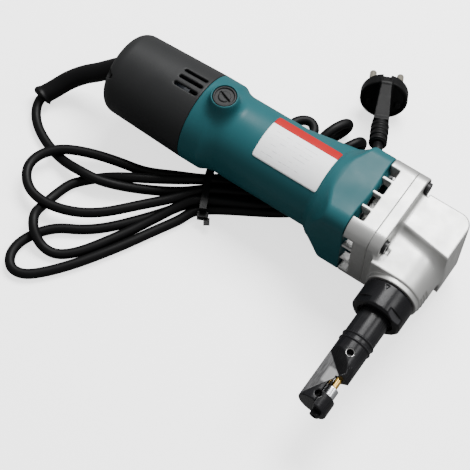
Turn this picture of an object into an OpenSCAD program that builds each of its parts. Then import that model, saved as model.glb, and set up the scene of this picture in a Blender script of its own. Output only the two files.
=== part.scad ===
// Hand-held electric nibbler for sheet metal, lying on its side as it rests on a bench.
// +X runs along the motor towards the head, -Y is the punching direction, +Z is up.
// Stations along X are measured from the axis of the ram. The finished model is moved back so that
// its origin is where the motor axis meets the flat front face of the head. Sizes in millimetres.

/* [Motor housing] */
// Radius of the round rear end of the motor housing
barrel_r = 31; // [28:0.5:34]
// Radius of the two arcs that make the grip's section
grip_r = 25.8; // [24:0.1:29]
// Distance of each grip arc's centre above or below the motor axis
grip_rise = 3.9; // [0:0.1:6]
// Wall thickness of the plastic housing
wall = 3; // [2:0.1:4]
// Half width of the square front flange
flange_half = 32; // [30:0.5:36]
// Corner radius of the square front flange
flange_corner = 10; // [6:0.5:14]
// Lean of the thumb rest behind the flange, in degrees
thumb_lean = 10; // [0:0.5:14]
// Radius of the thumb rest
thumb_r = 23.5; // [20:0.5:25]

/* [Lengths along the motor axis] */
// Rear face of the rear cover
x_rear = -236; // [-250:1:-220]
// Joint of rear cover and motor housing
x_joint = -169.6; // [-180:0.1:-160]
// Front face of the motor housing
x_flange = -42.2; // [-46:0.1:-38]
// Joint of gear housing cover and gear housing
x_seam = -25; // [-28:0.1:-22]
// Front face of the gear housing's flange
x_head = -17; // [-19:0.1:-15]
// Front face of the head
x_front = 19.5; // [17:0.1:22]

/* [Brushes] */
// Place of the two carbon brushes along the motor axis
x_brush = -153.6; // [-156:0.1:-150]
// Height of the brush bosses above the motor axis
boss_top = 39.4; // [36:0.1:42]

/* [Gear train] */
// Module of all four gears
gear_module = 0.75; // [0.6:0.05:0.9]
// Teeth of the armature pinion
pinion_teeth = 8; // [7:1:10]
// Teeth of the large layshaft gear
layshaft_teeth = 31; // [28:1:34]
// Teeth of the layshaft pinion
second_pinion_teeth = 9; // [8:1:11]
// Teeth of the output gear on the crankshaft
output_teeth = 30; // [28:1:32]

/* [Crank and ram] */
// Throw of the crank pin, half the stroke of the punch
crank_throw = 2.5; // [2:0.1:3]
// Distance between the two eyes of the connecting rod
rod_length = 26; // [24:0.5:30]
// Radius of the round ram
ram_r = 7; // [6:0.1:8]

/* [Nose] */
// Underside of the head, where the lock nut starts
y_nose = -40.5; // [-44:0.1:-38]
// Outer radius of the lock nut
nut_r = 17; // [15:0.1:19]
// Length of the lock nut
nut_length = 18; // [14:0.5:22]
// Half the width across the lock nut's spanner flats
nut_flat = 15.7; // [14:0.1:16.9]
// Radius of the die holder
holder_r = 10.4; // [9:0.1:12]
// Lower end of the die holder
y_tip = -127.5; // [-132:0.5:-122]
// Sideways offset of the punch from the holder's axis
punch_offset = 4.15; // [3:0.05:5]
// Radius of the cutting end of the punch
punch_r = 2.25; // [2:0.05:2.6]
// Radial clearance between punch and die
die_clearance = 0.08; // [0.05:0.01:0.15]
// Level of the stripper face above the sheet
y_stripper = -104.5; // [-106:0.1:-100]
// Level of the die's cutting face
y_die = -112; // [-114:0.1:-110]

/* [Cord and plug] */
// Radius of the rubber cord
cord_r = 3.4; // [3:0.05:4]
// Radius of the plug's face
plug_r = 16.5; // [15:0.5:18.5]
// Radius of a plug pin
pin_r = 2.4; // [2:0.05:2.4]
// Distance between the two plug pins
pin_spacing = 19; // [18.5:0.1:19.5]
// Length of a plug pin
pin_length = 19; // [18:0.5:19.5]

/* [Hidden] */

$fn = 64;
e = 0.05;

// Derived sizes
centre_distance = gear_module * (pinion_teeth + layshaft_teeth) / 2;
lay_y = centre_distance * cos(45);
lay_z = centre_distance * sin(45);
screw_y = 25;
screw_z = 24;
pin_drop = sqrt(rod_length * rod_length - crank_throw * crank_throw);
rod_tilt = asin(crank_throw / rod_length);
y_collar = y_nose - 13.7;
y_floor_gap = 0.05;
z_floor = -boss_top;
cord_z = z_floor + cord_r + y_floor_gap;

// Colours
teal = [0.13, 0.42, 0.45];
black = [0.10, 0.10, 0.11];
alloy = [0.80, 0.80, 0.79];
steel = [0.62, 0.63, 0.65];
dark_steel = [0.16, 0.16, 0.17];
copper = [0.72, 0.42, 0.22];
gold = [0.85, 0.66, 0.25];
rubber = [0.12, 0.12, 0.12];
resin = [0.45, 0.24, 0.14];

// ---- Shared helpers ----

// Draws in the Y-Z plane and extrudes towards +X, starting at x
module along_x(x) { translate([x, 0, 0]) rotate([90, 0, 90]) children(); }

// Draws in the X-Z plane and extrudes towards -Y, starting at y
module down_from(y) { translate([0, y, 0]) rotate([90, 0, 0]) children(); }

// Moves a sub-part from stations measured at the ram's axis to the model's own origin
module in_row() { translate([-x_front, 0, 0]) children(); }

// Round bar or hole along X between two stations
module bar_x(x1, x2, r) { along_x(x1) cylinder(h = x2 - x1, r = r); }

// Round bar or hole along Y between an upper and a lower level
module bar_y(y1, y2, r) { down_from(y1) cylinder(h = y1 - y2, r = r); }

// Ring along X
module ring_x(x1, x2, outer, inner) {
    difference() {
        bar_x(x1, x2, outer);
        bar_x(x1 - 1, x2 + 1, inner);
    }
}

// Box given by its two opposite corners
module block(low, high) { translate(low) cube(high - low); }

// Square with rounded corners, as a flat shape
module round_square(half, r) {
    square([2 * half, 2 * (half - r)], center = true);
    square([2 * (half - r), 2 * half], center = true);
    for (a = [-1, 1], b = [-1, 1]) translate([a * (half - r), b * (half - r)]) circle(r = r);
}

// Section of the grip: two arcs joined by a short straight, taller than it is wide
module grip_section(inset) {
    r = grip_r - inset;
    square([2 * r, 2 * grip_rise], center = true);
    for (s = [-1, 1]) translate([0, s * grip_rise]) circle(r = r);
}

// Flat sector of a ring between two angles, made of chords fine enough to read as round
function arc(r, a1, a2, n) = [for (i = [0:n]) let(a = a1 + (a2 - a1) * i / n) [r * cos(a), r * sin(a)]];
module sector(r1, r2, a1, a2, n = 12) { polygon(concat(arc(r2, a1, a2, n), arc(r1, a2, a1, n))); }

// Four places of the long housing screws
module at_housing_screws() {
    for (a = [-1, 1], b = [-1, 1]) translate([0, a * screw_y, b * screw_z]) children();
}

// Two places of the rear cover screws
module at_cover_screws() { for (s = [-1, 1]) translate([0, s * 18, -s * 18]) children(); }

// Straight-flanked spur gear, thinned for backlash, as a flat shape; turned by phase degrees
module gear_outline(teeth, phase) {
    pitch_r = gear_module * teeth / 2;
    root_r = pitch_r - 1.15 * gear_module;
    tip_r = pitch_r + 0.85 * gear_module;
    step = 360 / teeth;
    points = [for (i = [0:teeth - 1])
        let(a = phase + i * step)
        for (p = [[root_r, -0.33], [pitch_r, -0.215], [tip_r, -0.10], [tip_r, 0.10], [pitch_r, 0.215],
                [root_r, 0.33]])
            [p[0] * cos(a + p[1] * step), p[0] * sin(a + p[1] * step)]];
    polygon(points);
}

// Ball bearing along X: two grooved races, balls and a shield ring on each side
module ball_bearing(x, width, outer, inner, balls) {
    gap = (outer - inner) / 3;
    mid = (outer + inner) / 2;
    ball = gap * 0.62;
    difference() {
        ring_x(x, x + width, outer, mid + gap / 2);
        along_x(x + width / 2) rotate_extrude() translate([mid, 0]) circle(r = ball + 0.02, $fn = 32);
    }
    difference() {
        ring_x(x, x + width, mid - gap / 2, inner);
        along_x(x + width / 2) rotate_extrude() translate([mid, 0]) circle(r = ball + 0.02, $fn = 32);
    }
    for (i = [0:balls - 1])
        along_x(x + width / 2) rotate(i * 360 / balls) translate([mid, 0, 0]) sphere(r = ball, $fn = 32);
    for (s = [x + 0.3, x + width - 0.8]) ring_x(s, s + 0.5, mid + gap / 2, mid - gap / 2 + 0.15);
}

// Needle bearing along X: drawn cup and a ring of rollers
module needle_bearing(x1, x2, outer, inner, rollers) {
    roller = (outer - inner) * 0.30;
    ring_x(x1, x2, outer, inner + 2 * roller + 0.04);
    for (i = [0:rollers - 1])
        along_x(x1 + 0.6) rotate(i * 360 / rollers) translate([inner + roller + 0.02, 0, 0])
            cylinder(h = x2 - x1 - 1.2, r = roller, $fn = 24);
}

// Screw along X with its head at x towards +X or -X; drive is a cross or a hex socket
module screw_x(x, length, r, head_r, head_h, toward, socket) {
    mirror([toward < 0 ? 1 : 0, 0, 0]) translate([toward * x, 0, 0]) difference() {
        union() {
            bar_x(-length, 0, r);
            bar_x(0, head_h, head_r);
        }
        if (socket) along_x(head_h * 0.4) cylinder(h = head_h, r = head_r * 0.55, $fn = 6);
        else for (a = [0, 90])
            translate([head_h * 0.45, 0, 0]) rotate([a, 0, 0])
                block([0, -head_r * 0.62, -head_r * 0.12], [head_h, head_r * 0.62, head_r * 0.12]);
    }
}

// ---- Motor housing and covers ----

// Turned flare behind the flange: a finger guard that rises steeply
module finger_guard() {
    steps = 12;
    flare = [for (i = [0:steps]) let(t = i / steps)
        [27 + 3 * min(1, t * 4) + 16 * pow(t, 2.2), -75 + 20 * t]];
    along_x(0) rotate_extrude($fn = 96)
        polygon(concat([[0, -75]], flare, [[flare[steps][0], x_flange], [0, x_flange]]));
}

module housing_outside() {
    bar_x(x_joint, -155, barrel_r);
    along_x(-155) cylinder(h = 7, r1 = barrel_r, r2 = grip_r);
    along_x(-156) linear_extrude(height = x_flange + 156) grip_section(0);
    intersection() {
        along_x(-130) linear_extrude(height = x_flange + 130) round_square(flange_half, flange_corner);
        union() {
            finger_guard();
            // Thumb rest on the upper side of the grip
            translate([-117, grip_r - thumb_r, 0]) rotate([0, 0, thumb_lean]) bar_x(-4, 82, thumb_r);
            bar_x(-50, x_flange, 46);
        }
    }
    for (s = [0, 1]) mirror([0, 0, s]) translate([x_brush, 0, 26]) {
        cylinder(h = boss_top - 26 - 1, r1 = 12, r2 = 9.1);
        cylinder(h = boss_top - 26, r = 9);
    }
}

module motor_housing() {
    color(teal) in_row() difference() {
        union() {
            difference() {
                housing_outside();
                bar_x(x_joint - 1, -154, barrel_r - wall);
                along_x(-155) linear_extrude(height = 114) grip_section(wall);
                bar_x(-60.5, x_flange + 1, 26.5);
            }
            // Spider that carries the rear bearing
            difference() {
                ring_x(x_joint, x_joint + 6.2, barrel_r - wall + 0.2, 9.5);
                for (a = [0:90:270]) along_x(x_joint - 1) rotate(a) linear_extrude(height = 9)
                    sector(13, 26, -30, 30);
            }
            // Posts that hold the brush holders
            for (s = [0, 1]) mirror([0, 0, s])
                block([x_brush - 7.5, -6, 13.5], [x_brush + 7.5, 6, 28.6]);
            // Inner ring the baffle plate sits against
            difference() {
                along_x(-63) linear_extrude(height = 2) grip_section(wall - 0.2);
                bar_x(-64, -60, 21);
            }
        }
        // Brush tunnels, cap threads and cap recesses
        for (s = [0, 1]) mirror([0, 0, s]) {
            block([x_brush - 5.55, -3.8, 10], [x_brush + 5.55, 3.8, 31]);
            translate([x_brush, 0, 30]) cylinder(h = 7, r = 6.6);
            translate([x_brush, 0, boss_top - 3.4]) cylinder(h = 5, r = 8);
        }
        // Slot for the switch knob's neck, on the left side
        block([-131, -4.2, -32], [-105, 4.2, -24]);
        // Pilot holes for the long screws
        at_housing_screws() bar_x(-59, x_flange + 1, 2.2);
        // Pilot holes for the rear cover screws
        at_cover_screws() bar_x(x_joint - 1, x_joint + 5, 1.6);
    }
}

module rear_cover() {
    round_r = 9;
    end_r = barrel_r - 1.8;
    steps = 10;
    outer = concat([[0, x_joint], [barrel_r, x_joint]],
        [for (i = [0:steps]) let(a = 90 * i / steps)
            [end_r - round_r + round_r * cos(a), x_rear + round_r - round_r * sin(a)]],
        [[0, x_rear]]);
    inner = concat([[0, x_joint + 1], [barrel_r - wall, x_joint + 1]],
        [for (i = [0:steps]) let(a = 90 * i / steps)
            [end_r - round_r + (round_r - wall) * cos(a), x_rear + round_r - (round_r - wall) * sin(a)]],
        [[0, x_rear + wall]]);
    color(black) in_row() difference() {
        union() {
            difference() {
                along_x(0) rotate_extrude($fn = 96) polygon(outer);
                along_x(0) rotate_extrude($fn = 96) polygon(inner);
            }
            // Sleeve the cord guard plugs into
            ring_x(x_rear + 1, x_rear + 14, 9.4, 6.2);
            // Posts of the two cover screws
            at_cover_screws() bar_x(x_rear + 10, x_joint, 3.6);
            // Walls that hold the switch, the capacitor and the cord clamp
            block([-205, -9, -27], [-203, 9, -7]);
            block([-207.2, -9, 5], [-205.05, 9, 27]);
            block([-219.2, -10, -27], [-210.8, 10, -7.05]);
        }
        bar_x(x_rear - 1, x_rear + 15, 6.2);
        at_cover_screws() {
            bar_x(x_rear - 1, x_joint + 1, 1.9);
            bar_x(x_rear - 1, x_rear + 16, 3.1);
        }
        // Air intake slots near the joint, on both sides
        for (side = [0, 180], a = [-14, -2.5, 9])
            along_x(-190) rotate(90 + side + a) translate([25, -1.2, 0]) cube([9, 2.4, 18]);
    }
}

module gear_housing_cover() {
    color(alloy) in_row() difference() {
        along_x(x_flange) linear_extrude(height = x_seam - x_flange) round_square(flange_half, flange_corner);
        difference() {
            bar_x(x_flange - 1, -35.2, 27);
            bar_x(x_flange - 2, -30, 13.5);
        }
        // Weight-saving pocket round the bearing boss
        difference() {
            bar_x(-36, -30, 25);
            bar_x(-37, -29, 14.5);
            translate([0, lay_y, lay_z]) bar_x(-37, -29, 7.5);
        }
        bar_x(x_flange - 1, -34.4, 11.01);
        bar_x(-35, x_seam + 1, 5);
        translate([0, lay_y, lay_z]) bar_x(-33.4, x_seam + 1, 4.5);
        at_housing_screws() bar_x(x_flange - 1, x_seam + 1, 2.7);
        // Exhaust slots, open towards the motor housing
        for (s = [0, 1]) mirror([0, 0, s]) {
            for (y = [-6, 6]) block([x_flange - 1, y - 4.9, 20], [-35.2, y + 4.9, 34]);
            for (y = [-17.3, 17.3]) block([x_flange - 1, y - 4.2, 17], [-35.2, y + 4.2, 34]);
        }
        for (s = [0, 1]) mirror([0, s, 0]) {
            block([x_flange - 1, 20, -7], [-35.2, 34, 7]);
            for (z = [-14.7, 14.7]) block([x_flange - 1, 18, z - 5.7], [-35.2, 34, z + 5.7]);
        }
    }
}

module head_outside() {
    // Flange
    along_x(x_seam) linear_extrude(height = x_head - x_seam) round_square(flange_half, flange_corner);
    // Gear block, with one rounded corner
    translate([0, 0, -24]) linear_extrude(height = 48) union() {
        polygon([[x_head - 1, -4.6], [x_front, -10.4], [x_front, 14], [x_front - 9, 23], [x_head - 1, 23]]);
        translate([x_front - 9, 14]) circle(r = 9);
    }
    // Neck with a round front, and the machined lip above the nut
    down_from(0) linear_extrude(height = 36.5) {
        circle(r = x_front);
        translate([x_head - 1, -x_front]) square([1 - x_head, 2 * x_front]);
    }
    bar_y(-36, y_nose + 0.35, 18.3);
}

module gear_housing() {
    color(alloy) in_row() difference() {
        head_outside();
        // Gear chamber and seat of the bearing plate
        bar_x(x_seam - 1, -6.5, 19.8);
        translate([0, lay_y, lay_z]) bar_x(x_seam - 1, -19.4, 13);
        // Crank chamber
        bar_x(-7, 6.7, 17.9);
        bar_x(6, 16.6, 6);
        // Bore of the neck
        bar_y(-14, y_nose - 1, 11.5);
        at_housing_screws() {
            bar_x(x_seam - 1, x_head + 1, 2.7);
            bar_x(x_head - 1.5, x_head + 4, 5);
        }
        // Three short cast grooves on the front of the neck
        for (y = [-28.5, -31.5, -34.5]) intersection() {
            down_from(y) difference() {
                cylinder(h = 1.5, r = 22);
                translate([0, 0, -1]) cylinder(h = 4, r = x_front - 1);
            }
            block([10, y - 3, -8], [24, y + 1, 8]);
        }
    }
}

module housing_screws() {
    color(dark_steel) in_row() at_housing_screws() screw_x(x_head - 1.5, 38, 2.15, 4.3, 3.6, 1, false);
}

module rear_cover_screws() {
    color(dark_steel) in_row() at_cover_screws() screw_x(x_rear + 16, 55, 1.55, 2.9, 2.2, -1, false);
}

module rating_label() {
    // Thin blank plate wrapped over the right side of the grip
    color([0.93, 0.93, 0.92]) in_row() intersection() {
        along_x(-120.3) linear_extrude(height = 47.4) difference() {
            translate([0, grip_rise]) circle(r = grip_r + 0.35);
            translate([0, grip_rise]) circle(r = grip_r + 0.02);
        }
        block([-121, -17.5, 12], [-71, 14.5, 40]);
    }
}

// ---- Brush gear, field and switch ----

module brush_cap() {
    translate([x_brush, 0, 0]) difference() {
        union() {
            translate([0, 0, boss_top - 3.35]) cylinder(h = 2.9, r = 7.85);
            translate([0, 0, 31.1]) cylinder(h = 6, r = 6.5);
        }
        translate([0, 0, boss_top - 1.2]) difference() {
            cylinder(h = 3, r = 6.4);
            translate([0, 0, -1]) cylinder(h = 5, r = 3.2);
        }
        translate([-4.6, -0.7, boss_top - 1.9]) cube([9.2, 1.4, 4]);
    }
}

module right_brush_cap() { color(black) in_row() brush_cap(); }
module left_brush_cap() { color(black) in_row() mirror([0, 0, 1]) brush_cap(); }

module brush_holders() {
    color([0.78, 0.62, 0.28]) in_row() for (s = [0, 1]) mirror([0, 0, s]) difference() {
        block([x_brush - 5.5, -3.75, 12.6], [x_brush + 5.5, 3.75, 30.9]);
        block([x_brush - 4.6, -2.85, 12], [x_brush + 4.6, 2.85, 32]);
    }
}

module carbon_brushes() {
    color([0.15, 0.15, 0.16]) in_row() for (s = [0, 1]) mirror([0, 0, s]) difference() {
        block([x_brush - 4.5, -2.75, 10.2], [x_brush + 4.5, 2.75, 24]);
        bar_x(x_brush - 6, x_brush + 6, 11.04);
    }
}

module brush_springs() {
    coils = 5;
    pitch = 1.35;
    color(steel) in_row() for (s = [0, 1]) mirror([0, 0, s]) translate([x_brush, 0, 24.35]) {
        for (i = [0:coils - 1]) translate([0, 0, i * pitch])
            rotate_extrude() translate([2.1, 0]) circle(r = 0.32, $fn = 16);
        for (i = [0:coils - 2]) rotate(i * 140) translate([2.1, 0, i * pitch])
            cylinder(h = pitch, r = 0.3, $fn = 16);
    }
}

module field_core() {
    color(steel) in_row() along_x(-138) linear_extrude(height = 46) difference() {
        intersection() {
            grip_section(wall + 0.15);
            square([60, 49], center = true);
        }
        circle(r = 15.8);
        for (s = [0, 180], a = [90 - 41, 90]) rotate(s) sector(15, 20.8, a, a + 41);
    }
}

// One coil wound round a pole: two straight sides in the slots and an end turn at each end
module field_coil() {
    along_x(-146) linear_extrude(height = 62) difference() {
        sector(16.6, 20.5, -86, 86, 36);
        sector(15, 22, -51, 51, 36);
    }
    for (x = [-146, -91.8]) along_x(x) linear_extrude(height = 7.8) sector(16.6, 20.5, -86, 86, 36);
}

module near_field_coil() { color(copper) in_row() mirror([0, 1, 0]) field_coil(); }
module far_field_coil() { color(copper) in_row() field_coil(); }

module baffle_plate() {
    color(black) in_row() difference() {
        along_x(-65) linear_extrude(height = 1.9) grip_section(wall + 0.1);
        bar_x(-66, -62, 20);
    }
}

module switch_body() {
    color([0.20, 0.20, 0.21]) in_row() difference() {
        block([-202.9, -8, -25], [-178, 7.2, -9]);
        block([-197.5, 2.5, -22.8], [-182, 8, -20]);
        for (y = [-4, 4]) block([-204, y - 1.6, -17], [-198, y + 1.6, -14]);
    }
}

module suppression_capacitor() {
    color([0.28, 0.30, 0.35]) in_row() block([-205, -9, 7], [-183, 9, 17]);
    color(steel) in_row() for (y = [-5, 5]) translate([0, y, 12]) bar_x(-183, -176, 0.5);
}

module cord_clamp() {
    color(black) in_row() difference() {
        block([-219, -10, -7], [-211, 10, 7.6]);
        bar_x(-220, -210, cord_r + 0.02);
        block([-220, -11, -0.3], [-210, 11, 0.3]);
        for (y = [-7, 7]) translate([-215, y, -12]) cylinder(h = 30, r = 1.5);
    }
}

module cord_clamp_screws() {
    color(dark_steel) in_row() for (y = [-7, 7]) translate([-215, y, 0]) difference() {
        union() {
            translate([0, 0, -6]) cylinder(h = 13.6, r = 1.45);
            translate([0, 0, 7.6]) cylinder(h = 2, r = 2.8);
        }
        for (a = [0, 90]) rotate(a) translate([-2, -0.35, 8.6]) cube([4, 0.7, 2]);
    }
}

module switch_knob() {
    color(black) in_row() {
        difference() {
            block([-129, -6.5, -32.4], [-113, 6.5, -29.8]);
            for (x = [-126:3:-116]) block([x, -7, -33], [x + 1.2, 7, -31.7]);
        }
        block([-125, -3.9, -30], [-117, 3.9, -26.15]);
    }
}

// Strip that runs beside the field core, steps round the brush holder and hooks the switch
module switch_link() {
    color(steel) in_row() {
        block([-145.5, -3, -26.1], [-117.5, 3, -24.9]);
        block([-145.5, -3, -26.1], [-144.5, 4.5, -20.8]);
        block([-145.5, 3, -23.3], [-144.5, 11, -20.8]);
        block([-196, 7.5, -22], [-144.5, 11, -20.8]);
        block([-194.5, 3, -22], [-192, 8, -20.8]);
    }
}

// ---- Armature ----

module armature_shaft() {
    pinion_phase = 45;
    color(steel) in_row() {
        bar_x(-170.5, -162.5, 3.48);
        bar_x(-162.5, -45, 5);
        bar_x(-45, -34.4, 3.98);
        bar_x(-34.4, -26, 3.2);
        along_x(-26.5) linear_extrude(height = 6.9) gear_outline(pinion_teeth, pinion_phase);
    }
}

module armature_core() {
    color([0.50, 0.50, 0.52]) in_row() along_x(-138) linear_extrude(height = 46) difference() {
        circle(r = 15.2);
        circle(r = 5);
        for (i = [0:11]) rotate(i * 30) {
            translate([7.6, -1.5]) square([6.2, 3]);
            translate([12, -0.6]) square([5, 1.2]);
        }
    }
}

module armature_winding() {
    bell = [[5.3, 0], [13.6, 0], [14, 1.5], [13.4, 5.5], [11.5, 7.2], [5.3, 7.4]];
    color(copper) in_row() {
        for (i = [0:11]) along_x(-138.5) rotate(i * 30) translate([7.7, -1.4, 0]) cube([5.9, 2.8, 47]);
        along_x(-92) rotate_extrude() polygon(bell);
        mirror([1, 0, 0]) along_x(138) rotate_extrude() polygon(bell);
    }
}

module commutator() {
    color(copper) in_row() along_x(-161.5) difference() {
        union() {
            cylinder(h = 14, r = 11);
            translate([0, 0, 14]) cylinder(h = 1.8, r = 12.2);
        }
        translate([0, 0, -1]) cylinder(h = 18, r = 5);
        for (i = [0:11]) rotate(i * 30 + 15) translate([9.8, -0.25, -1]) cube([4, 0.5, 18]);
    }
}

module cooling_fan() {
    blades = 13;
    color(black) in_row() {
        ring_x(-59, -46, 9, 5);
        ring_x(-59, -57.2, 24.5, 5);
        for (i = [0:blades - 1]) along_x(-57.5) rotate(i * 360 / blades) translate([8, 0, 0])
            rotate(-18) translate([0, -0.7, 0]) cube([16.3, 1.4, 10]);
    }
}

module rear_armature_bearing() { color(steel) in_row() ball_bearing(x_joint + 0.1, 6, 9.5, 3.5, 7); }
module front_armature_bearing() { color(steel) in_row() ball_bearing(-41.5, 7, 11, 4, 7); }

// ---- Gear train and crank ----

module layshaft() {
    color(steel) in_row() translate([0, lay_y, lay_z]) {
        bar_x(-33, -26.5, 2.98);
        bar_x(-26.5, -19.5, 4);
        along_x(-19.5) linear_extrude(height = 6.3) gear_outline(second_pinion_teeth, 225);
        bar_x(-13.5, -7.3, 2.2);
    }
}

module layshaft_gear() {
    color(steel) in_row() translate([0, lay_y, lay_z]) along_x(-24.9) linear_extrude(height = 5)
        difference() {
        gear_outline(layshaft_teeth, 225 + 180 / layshaft_teeth);
        circle(r = 4);
    }
}

module output_gear() {
    color(steel) in_row() along_x(-19.1) linear_extrude(height = 5.8) difference() {
        gear_outline(output_teeth, 45 + 180 / output_teeth);
        circle(r = 5);
    }
}

module layshaft_bushes() {
    color([0.70, 0.52, 0.25]) in_row() translate([0, lay_y, lay_z]) {
        ring_x(-33.2, -27.4, 4.48, 3);
        ring_x(-12.9, -7, 4, 2.22);
    }
}

module bearing_plate() {
    color(alloy) in_row() difference() {
        bar_x(-13, -6.55, 19.7);
        bar_x(-11.85, -5, 9.51);
        bar_x(-14, -5, 8.2);
        translate([0, lay_y, lay_z]) bar_x(-14, -6.9, 4.01);
        // Flat above the nose bush, and a notch where the ram comes up
        block([-14, -21, -14], [-5, -17.9, 14]);
        block([-8, -21, -3.3], [-5, -15.2, 3.3]);
    }
}

module crank_bearing() { color(steel) in_row() ball_bearing(-11.8, 5, 9.5, 5, 9); }

module crankshaft() {
    color(steel) in_row() {
        bar_x(-19.2, -6.3, 4.98);
        bar_x(-6.3, -4.1, 8.2);
        translate([0, 0, crank_throw]) bar_x(-4.5, 6, 3.5);
    }
}

module crank_journal() {
    color(steel) in_row() difference() {
        union() {
            bar_x(4.1, 6.3, 7.8);
            bar_x(6, 16, 3.98);
        }
        translate([0, 0, crank_throw]) bar_x(3, 6, 3.5);
    }
}

module front_needle_bearing() { color(steel) in_row() needle_bearing(6.9, 15.9, 5.98, 4, 12); }

module crank_pin_bearing() {
    color(steel) in_row() translate([0, 0, crank_throw]) needle_bearing(-3.6, 3.6, 5.5, 3.52, 12);
}

module connecting_rod() {
    // The big eye leaves room for the crank pin at every place of crank, rod and ram
    eye = 5.5 + 2.48 * crank_throw;
    color([0.55, 0.56, 0.58]) in_row() along_x(-3.4) linear_extrude(height = 6.8) translate([-pin_drop, 0])
        rotate(rod_tilt) difference() {
            union() {
                circle(r = 5.6);
                translate([rod_length, 0]) circle(r = eye + 2.2);
                translate([0, -3.4]) square([rod_length - eye, 6.8]);
            }
            circle(r = 3.03);
            translate([rod_length, 0]) circle(r = eye);
        }
}

module wrist_pin() { color(steel) in_row() translate([0, -pin_drop, 0]) bar_x(-6, 6, 3); }

module ram() {
    color([0.58, 0.59, 0.61]) in_row() difference() {
        bar_y(-18.4, -66, ram_r);
        block([-3.6, -32.4, -8], [3.6, -17, 8]);
        translate([0, -pin_drop, 0]) bar_x(-9, 9, 3.01);
        // Side-entry slot that hooks the punch's collar
        bar_y(-60, -63.1, 5.1);
        block([0, -63.1, -5.1], [8, -60, 5.1]);
        bar_y(-63, -67, 3.6);
        block([0, -67, -3.6], [8, -63, 3.6]);
    }
}

module nose_bush() {
    color(steel) in_row() difference() {
        union() {
            bar_y(-18.2, y_nose, 11.48);
            bar_y(y_nose + 0.3, y_collar + 0.1, 13.4);
        }
        bar_y(-17, y_collar - 1, ram_r + 0.03);
        bar_y(-45.5, y_collar - 1, 10.03);
    }
}

// ---- Nose: punch, die holder, die and lock nut ----

module punch() {
    color(gold) in_row() {
        bar_y(-60.05, -63.0, 5);
        bar_y(-62.9, -70, 3.5);
        translate([punch_offset - 1.75, 0, 0]) bar_y(-69.9, -94, 4);
        translate([punch_offset, 0, 0]) bar_y(-93.9, y_die + 0.5, punch_r);
    }
}

module die_holder() {
    web = punch_r - 0.15;
    block_end = y_tip - 2.5;
    color(dark_steel) in_row() difference() {
        union() {
            bar_y(-46, y_collar, 10);
            bar_y(y_collar, y_collar - 2, 13.1);
            bar_y(y_collar - 2, y_tip, holder_r);
            for (y = [-76.6, -80.6]) bar_y(y, y - 1.7, holder_r + 0.6);
            // Lower block that carries the die
            intersection() {
                bar_y(-119, block_end, holder_r);
                block([1.2, -135, -12], [12, -119, 12]);
            }
        }
        // Bores for ram, punch shank and punch
        bar_y(-45, -76.5, ram_r + 0.2);
        translate([punch_offset - 1.75, 0, 0]) bar_y(-76, -97.2, 4.05);
        translate([punch_offset, 0, 0]) bar_y(-97, y_stripper - 1, punch_r + 0.03);
        // Oil hole
        translate([1.6, -90, 6]) cylinder(h = 6, r = 2.2);
        // Throat between stripper and die
        block([1.5, -119.5, -12], [12, y_stripper, 12]);
        // Each side of the web: slanted nose, its front chamfer, and the slanted shoulder of the foot
        for (s = [0, 1]) mirror([0, 0, s]) {
            intersection() {
                beyond_plane([-8.9, -93.2, web], [-0.52, -0.60, 0.61], web);
                beyond_plane([-8.9, -123.9, web], [-0.824, 0.483, 0.296], web);
            }
            intersection() {
                beyond_plane([6.3, -97, 8.3], [0.69, -0.26, 0.68], web);
                block([-3, -107, 0], [12, -90, 12]);
            }
        }
        // Seat of the die, its screw hole, the slit and the slug window
        translate([punch_offset, 0, 0]) bar_y(-110, -125, 4.32);
        translate([punch_offset, 0, 0]) bar_y(-124, block_end - 1, 2.1);
        block([0.7, block_end, 4.4], [1.3, -112, 12]);
        translate([0.2, -122.5, -12]) cylinder(h = 24, r = 2.2);
    }
}

// Everything above a level that lies beyond a plane given by a point and its normal
module beyond_plane(at, normal, level_z) {
    intersection() {
        translate(at) rotate([0, acos(normal[2] / norm(normal)), atan2(normal[1], normal[0])])
            translate([-40, -40, 0]) cube([80, 80, 40]);
        translate([-20, -135, level_z]) cube([40, 60, 20]);
    }
}

module die() {
    color(steel) in_row() translate([punch_offset, 0, 0]) difference() {
        bar_y(y_die, -124.9, 4.3);
        bar_y(y_die + 1, -119, punch_r + die_clearance);
        bar_y(-119, -121, punch_r + 0.4);
        block([-6, -121.2, -2], [0, -118.5, 2]);
        bar_y(-121.2, -126, 1.9);
    }
}

module die_screw() {
    color(dark_steel) in_row() translate([punch_offset, 0, 0]) difference() {
        union() {
            bar_y(-121.6, y_tip - 2.5, 1.85);
            bar_y(y_tip - 2.5, y_tip - 5.3, 3.1);
        }
        down_from(y_tip - 3.6) cylinder(h = 4, r = 1.8, $fn = 6);
    }
}

module lock_nut() {
    y_end = y_nose - nut_length;
    color(dark_steel) in_row() difference() {
        union() {
            bar_y(y_nose - 0.1, y_end + 5, nut_r);
            intersection() {
                bar_y(y_nose - 2, y_end, nut_r);
                down_from(y_nose - 2) rotate(-45) linear_extrude(height = nut_length - 2)
                    square(2 * nut_flat, center = true);
            }
        }
        bar_y(y_nose + 1, y_collar + 0.05, 13.43);
        bar_y(y_collar + 0.1, y_collar - 2.1, 13.2);
        bar_y(y_collar - 2, y_end - 1, 12.3);
    }
}

// ---- Cord, guard, tie and plug ----

// Smooth curve through a list of points: n steps from each point to the next
function spline_at(p0, p1, p2, p3, t) = 0.5 * ((2 * p1) + (p2 - p0) * t
    + (2 * p0 - 5 * p1 + 4 * p2 - p3) * t * t + (3 * p1 - p0 - 3 * p2 + p3) * t * t * t);
function spline(p, n) = [for (i = [1:len(p) - 3], k = [0:n - 1])
    spline_at(p[i - 1], p[i], p[i + 1], p[i + 2], k / n)];
function unit(v) = v / norm(v);

// Frame at each point of a curve that stays close to upright
function side_of(t) = unit(cross(abs(t[2]) > 0.9 ? [1, 0, 0] : [0, 0, 1], t));

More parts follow.
